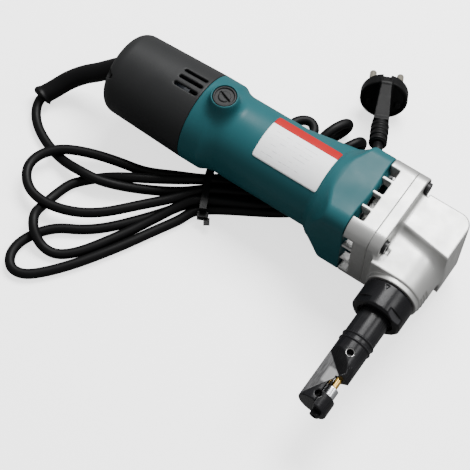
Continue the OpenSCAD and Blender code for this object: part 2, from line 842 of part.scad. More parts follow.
// Flexible bar of varying radius along a curve
module hose(curve, radii, sides) {
    n = len(curve);
    tangents = [for (i = [0:n - 1]) unit(curve[min(i + 1, n - 1)] - curve[max(i - 1, 0)])];
    rings = [for (i = [0:n - 1]) let(s = side_of(tangents[i]), u = cross(tangents[i], s))
        for (k = [0:sides - 1]) let(a = 360 * k / sides)
            curve[i] + radii[i] * (s * cos(a) + u * sin(a))];
    walls = [for (i = [0:n - 2], k = [0:sides - 1]) let(j = (k + 1) % sides)
        [i * sides + k, i * sides + j, (i + 1) * sides + j, (i + 1) * sides + k]];
    ends = [[for (k = [sides - 1:-1:0]) k], [for (k = [0:sides - 1]) (n - 1) * sides + k]];
    polyhedron(points = rings, faces = concat([for (f = walls) [f[3], f[2], f[1], f[0]]],
        [for (f = ends) [for (k = [len(f) - 1:-1:0]) f[k]]]), convexity = 10);
}

// Stations of the seven passes of cord through the tie and under the barrel
function at_tie(i) =
    [-146 + 0.45 * (i - 3) * 3.75, -31 - 0.89 * (i - 3) * 3.75, cord_z + 1.3 + (i % 2) * 6.3];
function under_near(i) = [-139.5 + 8.6 * i, -8, cord_z];
function under_far(i) = [-133.5 + 8.3 * i, 12, cord_z];
function beyond(i) = [-128.5 + 7.9 * i, 27, cord_z];
function pass_out(i) = [at_tie(i), under_near(i), under_far(i), beyond(i)];
function pass_back(i) = [beyond(i), under_far(i), under_near(i), at_tie(i)];
function level(x, y, up) = [x, y, cord_z + up];

// The plug leans: its pins point away from the tool and slightly down
plug_centre = [-88.9, 100.4, -23.3];
plug_axis = unit([-0.411, 0.877, -0.251]);
function plug_point(z) = plug_centre + z * plug_axis;

guard_path = [[-219.6, 0, 0], [-228, 0, 0], [-235, 0, 0], [-239.5, -0.4, -0.8], [-246, -2.9, -5.6],
    [-254, -6, -12], [-264, -10.5, -18.5], [-272.5, -17, -24.5], [-279, -26, -29.5], [-284, -36, -33]];

cord_path = concat(
    [[-205, 0, 0], [-209, 0, 0]], guard_path,
    [level(-281, -46, 0), level(-270, -56, 0), level(-254, -63, 0), level(-239, -67, 3),
        level(-224, -68.5, 7.4), level(-209, -67, 7.4), level(-193, -60, 5), level(-176, -49, 1),
        level(-160, -38, 0)],
    pass_out(2),
    [level(-107, 44, 0), level(-100, 58, 0), level(-96, 66, 4), level(-97, 66, 9.5), level(-101, 57, 11.5),
        level(-105, 44, 8.5)],
    pass_back(3),
    [level(-160, -49, 7), level(-175, -66, 7.4), level(-190, -83, 7.4), level(-203, -93, 7.4),
        level(-217, -99, 7.4), level(-230, -101, 7.4), level(-242, -99, 7.4), level(-251, -92, 7.4),
        level(-255, -83, 7.4), level(-253, -73, 7.4), level(-246, -64, 7.6), level(-236, -57.5, 7.4),
        level(-222, -51.5, 6.4), level(-206, -46, 4), level(-190, -41, 1), level(-172, -31, 0)],
    pass_out(0),
    [level(-131, 42, 0), level(-129, 53, 0), level(-121, 58, 0), level(-114, 52, 0), level(-116, 41, 0)],
    pass_back(1),
    [level(-164, -34, 6.8), level(-180, -45.5, 8), level(-196, -55, 7.5), level(-209, -61, 2.5),
        level(-219, -69, 0), level(-226, -78, 0), level(-229, -90, 0), level(-230, -102, 2),
        level(-228, -112, 7.4), level(-221.5, -121, 6.5), level(-212, -125.5, 1.5), level(-201, -124.5, 0),
        level(-191, -116, 0), level(-182, -102, 0), level(-172, -83.5, 0), level(-162.5, -64.5, 1.5),
        level(-153, -48, 5)],
    pass_out(5),
    [level(-87, 42, 0), level(-83, 52, 0), level(-80.5, 59, 4), level(-81.5, 59, 9.5), level(-85, 51, 11.5),
        level(-91, 40, 8)],
    pass_back(4),
    [level(-159, -55, 0), level(-172, -73, 0), level(-186, -90, 0), level(-199, -101, 0),
        level(-211, -108, 0), level(-220, -118, 0), level(-225.5, -130, 0), level(-225.5, -141, 0),
        level(-219, -149, 0), level(-209, -148, 0), level(-199, -139, 0), level(-188, -125, 0),
        level(-177.5, -108.5, 0), level(-167.5, -91, 0), level(-157.5, -71.5, 0), level(-149, -56, 0)],
    pass_out(6),
    [[-75.5, 32.5, -30.5], [-68.5, 39.5, -21], [-64.3, 47.2, -9.2], plug_point(-53), plug_point(-45),
        plug_point(-37)]);

// Local frame of the plug: +Z along the pins, Y level across them
module at_plug() {
    translate(plug_centre)
        rotate([0, acos(plug_axis[2]), atan2(plug_axis[1], plug_axis[0])]) children();
}

module cord() {
    curve = spline(cord_path, 3);
    color(rubber) in_row() hose(curve, [for (p = curve) cord_r], 10);
}

module cord_guard() {
    after = [level(-281, -46, 0), level(-270, -56, 0)];
    sheath = spline(concat([[-212, 0, 0]], guard_path, [after[0]]), 3);
    bore = spline(concat([[-205, 0, 0], [-209, 0, 0]], guard_path, after), 3);
    n = len(sheath);
    color(rubber) in_row() difference() {
        union() {
            hose(sheath, [for (i = [0:n - 1]) i > n - 3 ? 7.4 : sheath[i][0] > x_rear - 0.5 ? 6.1 : 7], 20);
            bar_x(x_rear + 14.1, x_rear + 16.4, 8.5);
        }
        hose(bore, [for (p = bore) cord_r + 0.3], 12);
    }
}

module cable_tie() {
    color(black) in_row() translate([-146, -31, z_floor]) rotate([0, 0, -63.2]) {
        rotate([90, 0, 0]) translate([0, 0, -2.4]) linear_extrude(height = 4.8) difference() {
            polygon([[-17.2, 0.1], [17.2, 0.1], [17.2, 15.7], [-10.4, 15.7], [-17.2, 9.4]]);
            polygon([[-16.1, 0.75], [16.1, 0.75], [16.1, 14.75], [-10, 14.75], [-16.1, 9]]);
        }
        block([16.5, -3.6, 5], [20.6, 3.6, 10]);
        rotate([0, 0, 8]) block([20, -2.1, 6.4], [25, 2.1, 7.7]);
    }
}

module plug_body() {
    color(black) in_row() at_plug() difference() {
        union() {
            // Face disc with its rim
            translate([0, 0, -8.5]) cylinder(h = 8.5, r = plug_r);
            // Blade-shaped grip
            rotate([90, 0, 0]) translate([0, 0, -4.6]) linear_extrude(height = 9.2)
                polygon([[-14.5, -7], [14.5, -7], [11, -16], [5.6, -33], [-5.6, -33], [-11, -16]]);
            // Ribbed strain relief
            translate([0, 0, -53]) cylinder(h = 22, r1 = 4.6, r2 = 5.4);
            for (z = [-52, -47.2, -42.4, -37.6]) translate([0, 0, z]) cylinder(h = 2.4, r = 6.2);
        }
        // Hollow behind the face on each side of the grip
        for (s = [-1, 1]) intersection() {
            translate([0, 0, -9]) cylinder(h = 2.2, r = plug_r - 2);
            block([-20, s > 0 ? 5.6 : -20, -9], [20, s > 0 ? 20 : -5.6, -6]);
        }
        // Earth contact notches at the rim
        for (s = [-1, 1]) block([s > 0 ? plug_r - 2.2 : -plug_r - 1, -2.6, -6],
            [s > 0 ? plug_r + 1 : 2.2 - plug_r, 2.6, 1]);
        for (s = [-1, 1]) translate([0, s * pin_spacing / 2, -6]) cylinder(h = 7, r = pin_r - 0.3);
        translate([0, 0, -54]) cylinder(h = 20, r = cord_r + 0.25);
    }
}

module plug_pins() {
    color(steel) in_row() at_plug() for (s = [-1, 1]) translate([0, s * pin_spacing / 2, 0]) {
        translate([0, 0, -5.9]) cylinder(h = 6.5, r = pin_r - 0.35);
        translate([0, 0, 0.1]) cylinder(h = pin_length - 0.1 - pin_r * 0.6, r = pin_r);
        translate([0, 0, pin_length - pin_r * 0.6]) cylinder(h = pin_r * 0.6, r1 = pin_r, r2 = pin_r * 0.55);
    }
}

motor_housing();
rear_cover();
gear_housing_cover();
gear_housing();
housing_screws();
rear_cover_screws();
right_brush_cap();
left_brush_cap();
rating_label();
brush_holders();
carbon_brushes();
brush_springs();
field_core();
near_field_coil();
far_field_coil();
baffle_plate();
switch_body();
suppression_capacitor();
cord_clamp();
cord_clamp_screws();
cord_guard();
cord();
cable_tie();
plug_body();
plug_pins();
rear_armature_bearing();
front_armature_bearing();
bearing_plate();
crank_bearing();
front_needle_bearing();
layshaft_bushes();
nose_bush();
armature_shaft();
armature_core();
armature_winding();
commutator();
cooling_fan();
layshaft();
layshaft_gear();
output_gear();
crankshaft();
crank_journal();
crank_pin_bearing();
connecting_rod();
wrist_pin();
ram();
punch();
die_holder();
die();
die_screw();
lock_nut();
switch_knob();
switch_link();
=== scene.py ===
"""Looks of the nibbler tool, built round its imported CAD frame. Shapes are written in millimetres."""

import math

import bpy
import numpy as np
import openvdb as vdb
from mathutils import Matrix, Vector


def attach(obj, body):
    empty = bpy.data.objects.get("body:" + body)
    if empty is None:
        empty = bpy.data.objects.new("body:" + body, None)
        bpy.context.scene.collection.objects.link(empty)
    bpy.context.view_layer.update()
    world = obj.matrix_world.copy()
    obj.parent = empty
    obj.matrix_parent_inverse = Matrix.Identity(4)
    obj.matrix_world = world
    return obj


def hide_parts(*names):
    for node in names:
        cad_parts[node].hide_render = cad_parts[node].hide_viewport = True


MM = 0.001
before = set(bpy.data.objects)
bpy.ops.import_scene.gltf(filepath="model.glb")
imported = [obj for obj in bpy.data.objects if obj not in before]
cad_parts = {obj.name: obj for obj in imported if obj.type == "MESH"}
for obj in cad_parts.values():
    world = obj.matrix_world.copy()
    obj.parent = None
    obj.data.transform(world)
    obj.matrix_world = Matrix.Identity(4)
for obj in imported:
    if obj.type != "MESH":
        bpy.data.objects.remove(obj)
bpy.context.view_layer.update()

# Main sizes, shared with the CAD source
X_REAR, X_JOINT, X_FLANGE, X_SEAM, X_HEAD, X_FRONT = -236.0, -169.6, -42.2, -25.0, -17.0, 19.5
BARREL_R, GRIP_R, GRIP_RISE, WALL = 31.0, 25.8, 3.9, 3.0
FLANGE_HALF, FLANGE_CORNER, THUMB_R = 32.0, 10.0, 23.5
X_BRUSH, BOSS_TOP = -153.6, 39.4
Y_NOSE, NUT_R, NUT_FLAT, NUT_LENGTH, Y_COLLAR = -40.5, 17.0, 15.7, 18.0, -54.2
HOLDER_R, Y_TIP, Y_STRIPPER, Y_DIE = 10.4, -127.5, -104.5, -112.0
PUNCH_X, PUNCH_R = 4.15, 2.25
CORD_R, PLUG_R, PIN_SPACING = 3.4, 16.5, 19.0
Z_FLOOR = -BOSS_TOP
CORD_Z = Z_FLOOR + CORD_R + 0.05

# ---------------------------------------------------------------- solids as distance fields


class Field:
    """A block of sample points at which distances to a solid's surface are worked out."""

    def __init__(self, low, high, cell):
        self.cell = cell
        self.low = np.array(low, float) - 3 * cell
        counts = np.ceil((np.array(high, float) - self.low) / cell).astype(int) + 4
        axes = [(self.low[i] + cell * np.arange(counts[i])).astype(np.float32) for i in range(3)]
        self.x = axes[0][:, None, None]
        self.y = axes[1][None, :, None]
        self.z = axes[2][None, None, :]


def extruded(outline, along, start, end, edge=0.0):
    """A flat shape's distance, given length along an axis, with rounded end edges."""
    flat = outline + edge
    length = np.abs(along - (start + end) / 2) - (end - start) / 2 + edge
    outside = np.sqrt(np.maximum(flat, 0) ** 2 + np.maximum(length, 0) ** 2)
    return np.minimum(np.maximum(flat, length), 0) + outside - edge


def circle(a, b, radius):
    return np.sqrt(a * a + b * b) - radius


def rectangle(a, b, half_a, half_b, corner=0.0):
    qa = np.abs(a) - half_a + corner
    qb = np.abs(b) - half_b + corner
    outside = np.sqrt(np.maximum(qa, 0) ** 2 + np.maximum(qb, 0) ** 2)
    return outside + np.minimum(np.maximum(qa, qb), 0) - corner


def stadium(a, b, radius, rise):
    """Two arcs one above the other, joined by a straight."""
    return np.sqrt(a * a + np.maximum(np.abs(b) - rise, 0) ** 2) - radius


def polygon(u, v, points):
    """Signed distance to a polygon, negative inside."""
    best = np.full(np.broadcast(u, v).shape, 1e9)
    sign = np.ones(best.shape)
    count = len(points)
    for i in range(count):
        ax, ay = points[i]
        bx, by = points[i - 1]
        ex, ey = bx - ax, by - ay
        wx, wy = u - ax, v - ay
        t = np.clip((wx * ex + wy * ey) / (ex * ex + ey * ey), 0, 1)
        best = np.minimum(best, (wx - ex * t) ** 2 + (wy - ey * t) ** 2)
        above, below, left = v >= ay, v < by, ex * wy > ey * wx
        flip = (above & below & left) | (~above & ~below & ~left)
        sign = np.where(flip, -sign, sign)
    return sign * np.sqrt(best)


def turned(along, across_a, across_b, points):
    """A profile of (station, radius) points turned about an axis."""
    radius = np.sqrt(across_a * across_a + across_b * across_b)
    step = 0.1
    stations = along.ravel()
    radii = np.arange(0, float(radius.max()) + 3 * step, step)
    table = polygon(stations[:, None], radii[None, :], points).astype(np.float32)
    index = (radius / step).astype(int)
    weight = radius / step - index
    row = np.arange(len(stations)).reshape(along.shape)
    return table[row, index] * (1 - weight) + table[row, index + 1] * weight


def box(f, low, high, edge=0.0):
    outline = rectangle(f.x - (low[0] + high[0]) / 2, f.y - (low[1] + high[1]) / 2,
                        (high[0] - low[0]) / 2, (high[1] - low[1]) / 2, edge)
    return extruded(outline, f.z, low[2], high[2], edge)


def bar_x(f, x1, x2, radius, centre=(0, 0), edge=0.0):
    return extruded(circle(f.y - centre[0], f.z - centre[1], radius), f.x, x1, x2, edge)


def bar_y(f, top, bottom, radius, centre=(0, 0), edge=0.0):
    return extruded(circle(f.x - centre[0], f.z - centre[1], radius), f.y, bottom, top, edge)


def bar_z(f, z1, z2, radius, centre, edge=0.0):
    return extruded(circle(f.x - centre[0], f.y - centre[1], radius), f.z, z1, z2, edge)


def join(a, b, fillet=0.0):
    """Union, with a concave fillet where the two meet."""
    if np.isscalar(fillet) and fillet <= 0:
        return np.minimum(a, b)
    h = np.maximum(fillet - np.abs(a - b), 0) / fillet
    return np.minimum(a, b) - h * h * fillet / 4


def common(a, b, soft=0.0):
    """Intersection, with a rounded convex edge."""
    return -join(-a, -b, soft)


def cut(a, b, soft=0.0):
    """a with b taken away, with a rounded rim."""
    return -join(-a, b, soft)


def plane(f, at, normal):
    """Distance past a plane, positive on the side its normal points to."""
    nx, ny, nz = Vector(normal).normalized()
    return (f.x - at[0]) * nx + (f.y - at[1]) * ny + (f.z - at[2]) * nz


# ---------------------------------------------------------------- meshes


def new_object(name, vertices, faces, material, smooth=True):
    """A mesh object from points in millimetres, X measured from the ram's axis, and faces of equal corner count."""
    vertices = (np.asarray(vertices, float) - (X_FRONT, 0, 0)) * MM
    faces = np.asarray(faces, dtype=np.int32)
    corners = faces.shape[1]
    mesh = bpy.data.meshes.new(name)
    mesh.vertices.add(len(vertices))
    mesh.vertices.foreach_set("co", vertices.astype(np.float32).ravel())
    mesh.loops.add(faces.size)
    mesh.loops.foreach_set("vertex_index", faces.ravel())
    mesh.polygons.add(len(faces))
    mesh.polygons.foreach_set("loop_start", np.arange(0, faces.size, corners, dtype=np.int32))
    mesh.update(calc_edges=True)
    mesh.validate()
    mesh.polygons.foreach_set("use_smooth", np.full(len(mesh.polygons), smooth))
    mesh.materials.append(material)
    obj = bpy.data.objects.new(name, mesh)
    bpy.context.scene.collection.objects.link(obj)
    return obj


def skin(name, f, distance, material, place=None):
    """The surface of a distance field as a quad mesh; place maps its points to the row's frame."""
    values = np.clip(distance / f.cell, -3, 3).astype(np.float32)
    grid = vdb.FloatGrid()
    grid.background = 3.0
    grid.copyFromArray(np.ascontiguousarray(values))
    points, quads = grid.convertToQuads(isovalue=0.0)
    points = np.asarray(points, float) * f.cell + f.low
    quads = np.asarray(quads, dtype=np.int64)
    a, b, c = (points[quads[:, k]] for k in range(3))
    volume = np.einsum("ij,ij->i", np.cross(a, b), c).sum()
    if volume < 0:
        quads = quads[:, ::-1]
    if place is not None:
        points = place(points)
    return new_object(name, points, quads, material)


def show(obj, body, *nodes):
    """obj rides on a body and stands for CAD nodes."""
    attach(obj, body)
    if nodes:
        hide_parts(*nodes)
    return obj


def spline(points, steps):
    """Smooth curve through all but the first and last of the points."""
    p = np.array(points, float)
    t = (np.arange(steps) / steps)[:, None]
    out = []
    for i in range(1, len(p) - 2):
        a, b, c, d = p[i - 1], p[i], p[i + 1], p[i + 2]
        out.append(0.5 * (2 * b + (c - a) * t + (2 * a - 5 * b + 4 * c - d) * t ** 2
                          + (3 * b - a - 3 * c + d) * t ** 3))
    out.append(p[-2][None, :])
    return np.concatenate(out)


def tube(name, curve, radii, sides, material):
    """A closed round bar along a curve, without twist."""
    tangents = np.gradient(curve, axis=0)
    tangents /= np.linalg.norm(tangents, axis=1)[:, None]
    normal = np.cross(tangents[0], [0.0, 1.0, 0.2])
    angles = np.arange(sides) * 2 * math.pi / sides
    rings = []
    for point, tangent, radius in zip(curve, tangents, radii):
        normal = normal - tangent * normal.dot(tangent)
        normal /= np.linalg.norm(normal)
        other = np.cross(tangent, normal)
        rings.append(point + radius * (np.outer(np.cos(angles), normal) + np.outer(np.sin(angles), other)))
    points = np.concatenate(rings + [curve[:1], curve[-1:]])
    count = len(curve)
    quads = [(i * sides + k, i * sides + (k + 1) % sides, (i + 1) * sides + (k + 1) % sides, (i + 1) * sides + k)
             for i in range(count - 1) for k in range(sides)]
    first, last = count * sides, count * sides + 1
    for k in range(0, sides, 2):
        a, b, c = k, (k + 1) % sides, (k + 2) % sides
        quads.append((first, c, b, a))
        end = (count - 1) * sides
        quads.append((last, end + a, end + b, end + c))
    return new_object(name, points, quads, material)


# ---------------------------------------------------------------- materials


class Nodes:
    """Short way to lay out a material's node tree."""

    def __init__(self, name):
        self.material = bpy.data.materials.new(name)
        self.material.use_nodes = True
        self.tree = self.material.node_tree
        self.shader = self.tree.nodes["Principled BSDF"]
        self.place = self.add("ShaderNodeTexCoord").outputs["Object"]

    def add(self, kind, **settings):
        node = self.tree.nodes.new(kind)
        for key, value in settings.items():
            setattr(node, key, value)
        return node

    def link(self, source, target):
        if hasattr(source, "links"):
            self.tree.links.new(source, target)
        else:
            target.default_value = source

    def noise(self, scale, detail=4.0, stretch=(1, 1, 1)):
        mapping = self.add("ShaderNodeMapping")
        mapping.inputs["Scale"].default_value = stretch
        self.link(self.place, mapping.inputs["Vector"])
        node = self.add("ShaderNodeTexNoise")
        node.inputs["Scale"].default_value = scale
        node.inputs["Detail"].default_value = detail
        self.link(mapping.outputs[0], node.inputs["Vector"])
        return node.outputs[0]

    def ramp(self, value, low, high, out_low=0.0, out_high=1.0):
        node = self.add("ShaderNodeMapRange")
        for key, number in (("From Min", low), ("From Max", high), ("To Min", out_low), ("To Max", out_high)):
            node.inputs[key].default_value = number
        self.link(value, node.inputs["Value"])
        return node.outputs[0]

    def math(self, operation, a, b=0.0):
        node = self.add("ShaderNodeMath", operation=operation)
        self.link(a, node.inputs[0])
        self.link(b, node.inputs[1])
        return node.outputs[0]

    def mix(self, factor, a, b):
        node = self.add("ShaderNodeMix", data_type="RGBA")
        self.link(factor, node.inputs["Factor"])
        for key, value in (("A", a), ("B", b)):
            socket = [s for s in node.inputs if s.name == key and s.type == "RGBA"][0]
            self.link(value if hasattr(value, "links") else (*value, 1.0), socket)
        return [s for s in node.outputs if s.type == "RGBA"][0]

    def axes(self):
        """The three coordinates of a point in metres, X measured from the ram's axis."""
        node = self.add("ShaderNodeSeparateXYZ")
        self.link(self.place, node.inputs[0])
        x, y, z = node.outputs
        return self.math("ADD", x, X_FRONT * MM), y, z

    def edges(self, low=0.51, high=0.6):
        geometry = self.add("ShaderNodeNewGeometry")
        return self.ramp(geometry.outputs["Pointiness"], low, high)

    def bump(self, height, strength, distance=0.0002):
        node = self.add("ShaderNodeBump")
        node.inputs["Strength"].default_value = strength
        node.inputs["Distance"].default_value = distance
        self.link(height, node.inputs["Height"])
        self.link(node.outputs[0], self.shader.inputs["Normal"])

    def finish(self, color, roughness, metallic=0.0, specular=0.5, coat=0.0):
        for key, value in (("Base Color", color), ("Roughness", roughness), ("Metallic", metallic),
                           ("Specular IOR Level", specular), ("Coat Weight", coat)):
            if key == "Base Color" and not hasattr(value, "links"):
                value = (*value, 1.0)
            self.link(value, self.shader.inputs[key])
        return self.material


def moulded(name, color, roughness=0.42, grain=900, strength=0.25, worn_and_highlit_tint=(0.3, 0.3, 0.3), wear_and_highlight=0.15, specular=0.5):
    """Moulded plastic or rubber: slight mottling, fine grain, lighter edges that are partly rubbed wear and partly a
    painted edge highlight.
    """
    n = Nodes(name)
    soft = n.noise(35, 3)
    fine = n.noise(grain, 2)
    shade = n.ramp(soft, 0.35, 0.65, 0.86, 1.1)
    base = n.mix(shade, tuple(0.6 * c for c in color), color)
    # Convex edges lightened in patches: partly rubbed wear, partly a painted edge highlight
    rubbed = n.math("MULTIPLY", n.edges(), n.ramp(n.noise(160, 5), 0.45, 0.7, 0.0, wear_and_highlight))
    n.bump(fine, strength, 0.0001)
    return n.finish(n.mix(rubbed, base, worn_and_highlit_tint), n.ramp(n.noise(60, 4), 0.3, 0.7, roughness - 0.05, roughness + 0.08),
                    specular=specular)


def metal(name, color, roughness=0.3, metallic=1.0, grain=500, stretch=(1, 1, 1), strength=0.15, stain=0.12,
          edge=(0.8, 0.8, 0.8), wear_and_highlight=0.3, specular=0.5):
    """Machined or cast metal: grain along the stretch, patches of tarnish, brighter edges that are partly edge wear and
    partly a painted edge highlight.
    """
    n = Nodes(name)
    lines = n.noise(grain, 3, stretch)
    patches = n.noise(70, 5)
    base = n.mix(n.ramp(patches, 0.35, 0.7, 0.0, 1.0), color, tuple(c * (1 - stain) for c in color))
    # Edges lightened towards the edge colour: partly wear, partly a painted edge highlight
    bright = n.math("MULTIPLY", n.edges(0.52, 0.62), wear_and_highlight)
    n.bump(lines, strength, 0.0001)
    blotch = n.ramp(patches, 0.3, 0.7, roughness - 0.05, roughness + 0.07)
    return n.finish(n.mix(bright, base, edge), blotch, metallic, specular)


def label_material():
    """Blank rating plate: white, a red band along its upper edge and faint ruled lines."""
    n = Nodes("rating_label")
    x, y, _ = n.axes()
    paper = n.mix(n.ramp(n.noise(300, 3), 0.3, 0.7), (0.93, 0.94, 0.95), (0.96, 0.97, 0.98))
    band = n.math("GREATER_THAN", y, 0.0072)
    rules = n.math("PINGPONG", n.math("ADD", y, 0.1), 0.0016)
    line = n.math("LESS_THAN", rules, 0.00022)
    in_x = n.math("MULTIPLY", n.math("GREATER_THAN", x, -0.116), n.math("LESS_THAN", x, -0.084))
    in_y = n.math("MULTIPLY", n.math("LESS_THAN", y, 0.004), n.math("GREATER_THAN", y, -0.014))
    broken = n.math("GREATER_THAN", n.noise(260, 1, (1, 6, 1)), 0.5)
    ruled = n.math("MULTIPLY", n.math("MULTIPLY", line, broken), n.math("MULTIPLY", in_x, in_y))
    color = n.mix(n.math("MULTIPLY", ruled, 0.45), paper, (0.25, 0.26, 0.3))
    color = n.mix(band, color, (0.36, 0.004, 0.006))
    n.bump(n.noise(900, 2), 0.05)
    return n.finish(color, n.ramp(n.noise(90, 3), 0.3, 0.7, 0.35, 0.45), coat=0.0, specular=0.25)


def holder_material():
    """Black oxide steel, rubbed to bare metal on the flats beside the punch."""
    n = Nodes("die_holder_steel")
    geometry = n.add("ShaderNodeNewGeometry")
    direction = n.add("ShaderNodeSeparateXYZ")
    n.link(geometry.outputs["Normal"], direction.inputs[0])
    upright = n.ramp(n.math("ABSOLUTE", direction.outputs["Z"]), 0.9, 0.99)
    x, y, z = n.axes()
    low = n.math("LESS_THAN", n.math("ABSOLUTE", z), 0.0027)
    web = n.math("MULTIPLY", n.math("MULTIPLY", upright, low), n.ramp(y, -0.12, -0.122, 1.0, 0.4))
    near = n.math("SUBTRACT", 1.0, n.ramp(n.math("ABSOLUTE", n.math("ADD", y, 0.1065)), 0.0045, 0.006))
    patch = n.math("MULTIPLY", near, n.ramp(x, -0.0055, -0.004))
    streaks = n.noise(260, 4, (6, 0.6, 1))
    bare = n.mix(n.ramp(streaks, 0.35, 0.65), (0.02, 0.02, 0.021), (0.06, 0.06, 0.062))
    bare = n.mix(n.math("MULTIPLY", patch, 0.7), bare, (0.3, 0.3, 0.3))
    oxide = n.mix(n.ramp(n.noise(90, 5), 0.35, 0.7), (0.007, 0.007, 0.008), (0.014, 0.014, 0.015))
    color = n.mix(web, oxide, bare)
    # The countersunk rim of the oil hole is bare metal
    to_hole = n.math("SQRT", n.math("ADD", n.math("POWER", n.math("SUBTRACT", x, 0.0016), 2.0),
                                    n.math("POWER", n.math("ADD", y, 0.09), 2.0)))
    ring = n.math("MULTIPLY", n.math("LESS_THAN", to_hole, 0.00265), n.math("GREATER_THAN", to_hole, 0.0021))
    rim = n.math("MULTIPLY", ring, n.math("GREATER_THAN", z, 0.009))
    color = n.mix(rim, color, (0.4, 0.4, 0.39))
    # Convex edges lightened to grey: partly worn bare steel, partly a painted edge highlight
    color = n.mix(n.math("MULTIPLY", n.edges(0.52, 0.6), 0.35), color, (0.12, 0.12, 0.125))
    n.bump(n.noise(500, 3, (1, 5, 1)), 0.12, 0.0001)
    return n.finish(color, n.ramp(streaks, 0.3, 0.7, 0.2, 0.32), n.ramp(rim, 0.0, 1.0, 0.0, 0.9), 0.16)


teal = moulded("teal_plastic", (0.012, 0.078, 0.090), 0.42, worn_and_highlit_tint=(0.02, 0.14, 0.155), strength=0.12, wear_and_highlight=0.3,
               specular=0.16)
black = moulded("black_plastic", (0.014, 0.0145, 0.015), 0.5, worn_and_highlit_tint=(0.02, 0.02, 0.02), strength=0.2, specular=0.2)
dark = moulded("dark_plastic", (0.01, 0.01, 0.011), 0.45, worn_and_highlit_tint=(0.05, 0.05, 0.05), specular=0.3)
rubber = moulded("black_rubber", (0.002, 0.002, 0.0023), 0.48, grain=1400, worn_and_highlit_tint=(0.012, 0.012, 0.012),
                 specular=0.14)
nylon = moulded("black_nylon", (0.003, 0.003, 0.003), 0.35, worn_and_highlit_tint=(0.015, 0.015, 0.015), specular=0.2)
resin = moulded("grey_resin", (0.02, 0.025, 0.035), 0.35, worn_and_highlit_tint=(0.08, 0.09, 0.1), specular=0.3)
carbon = moulded("carbon", (0.02, 0.02, 0.022), 0.55, grain=2000, worn_and_highlit_tint=(0.1, 0.1, 0.1))
alloy = metal("cast_alloy", (0.50, 0.50, 0.49), 0.42, 0.8, grain=1500, strength=0.22, stain=0.08,
              edge=(0.8, 0.8, 0.79))
steel = metal("bright_steel", (0.55, 0.56, 0.58), 0.24, grain=700, stretch=(1, 7, 7))
gear_steel = metal("gear_steel", (0.36, 0.36, 0.38), 0.3, grain=600, stretch=(6, 1, 1))
core_steel = metal("core_steel", (0.26, 0.26, 0.28), 0.42, grain=1800, stretch=(9, 0.2, 0.2), strength=0.5)
oxide = metal("black_oxide_steel", (0.008, 0.008, 0.009), 0.27, 0.0, grain=600, stretch=(1, 7, 1), stain=0.35,
              edge=(0.07, 0.07, 0.075), wear_and_highlight=0.35, specular=0.15)
screw_black = metal("black_screw", (0.006, 0.006, 0.007), 0.4, 0.3, stain=0.3, edge=(0.06, 0.06, 0.06),
                    specular=0.18)
gold = metal("gold_coating", (0.72, 0.46, 0.12), 0.22, grain=500, stretch=(6, 1, 6), strength=0.08, stain=0.1)
brass = metal("brass", (0.58, 0.42, 0.16), 0.32)
bronze = metal("bronze", (0.46, 0.29, 0.12), 0.38)
copper = metal("copper_wire", (0.42, 0.15, 0.055), 0.34, 0.8, grain=900, stretch=(0.3, 9, 9), strength=0.6)
copper_bar = metal("copper_bar", (0.55, 0.26, 0.13), 0.28, grain=900, stretch=(9, 1, 1))
nickel = metal("nickel_pin", (0.66, 0.62, 0.52), 0.2)
label = label_material()
holder_steel = holder_material()

# ---------------------------------------------------------------- motor housing


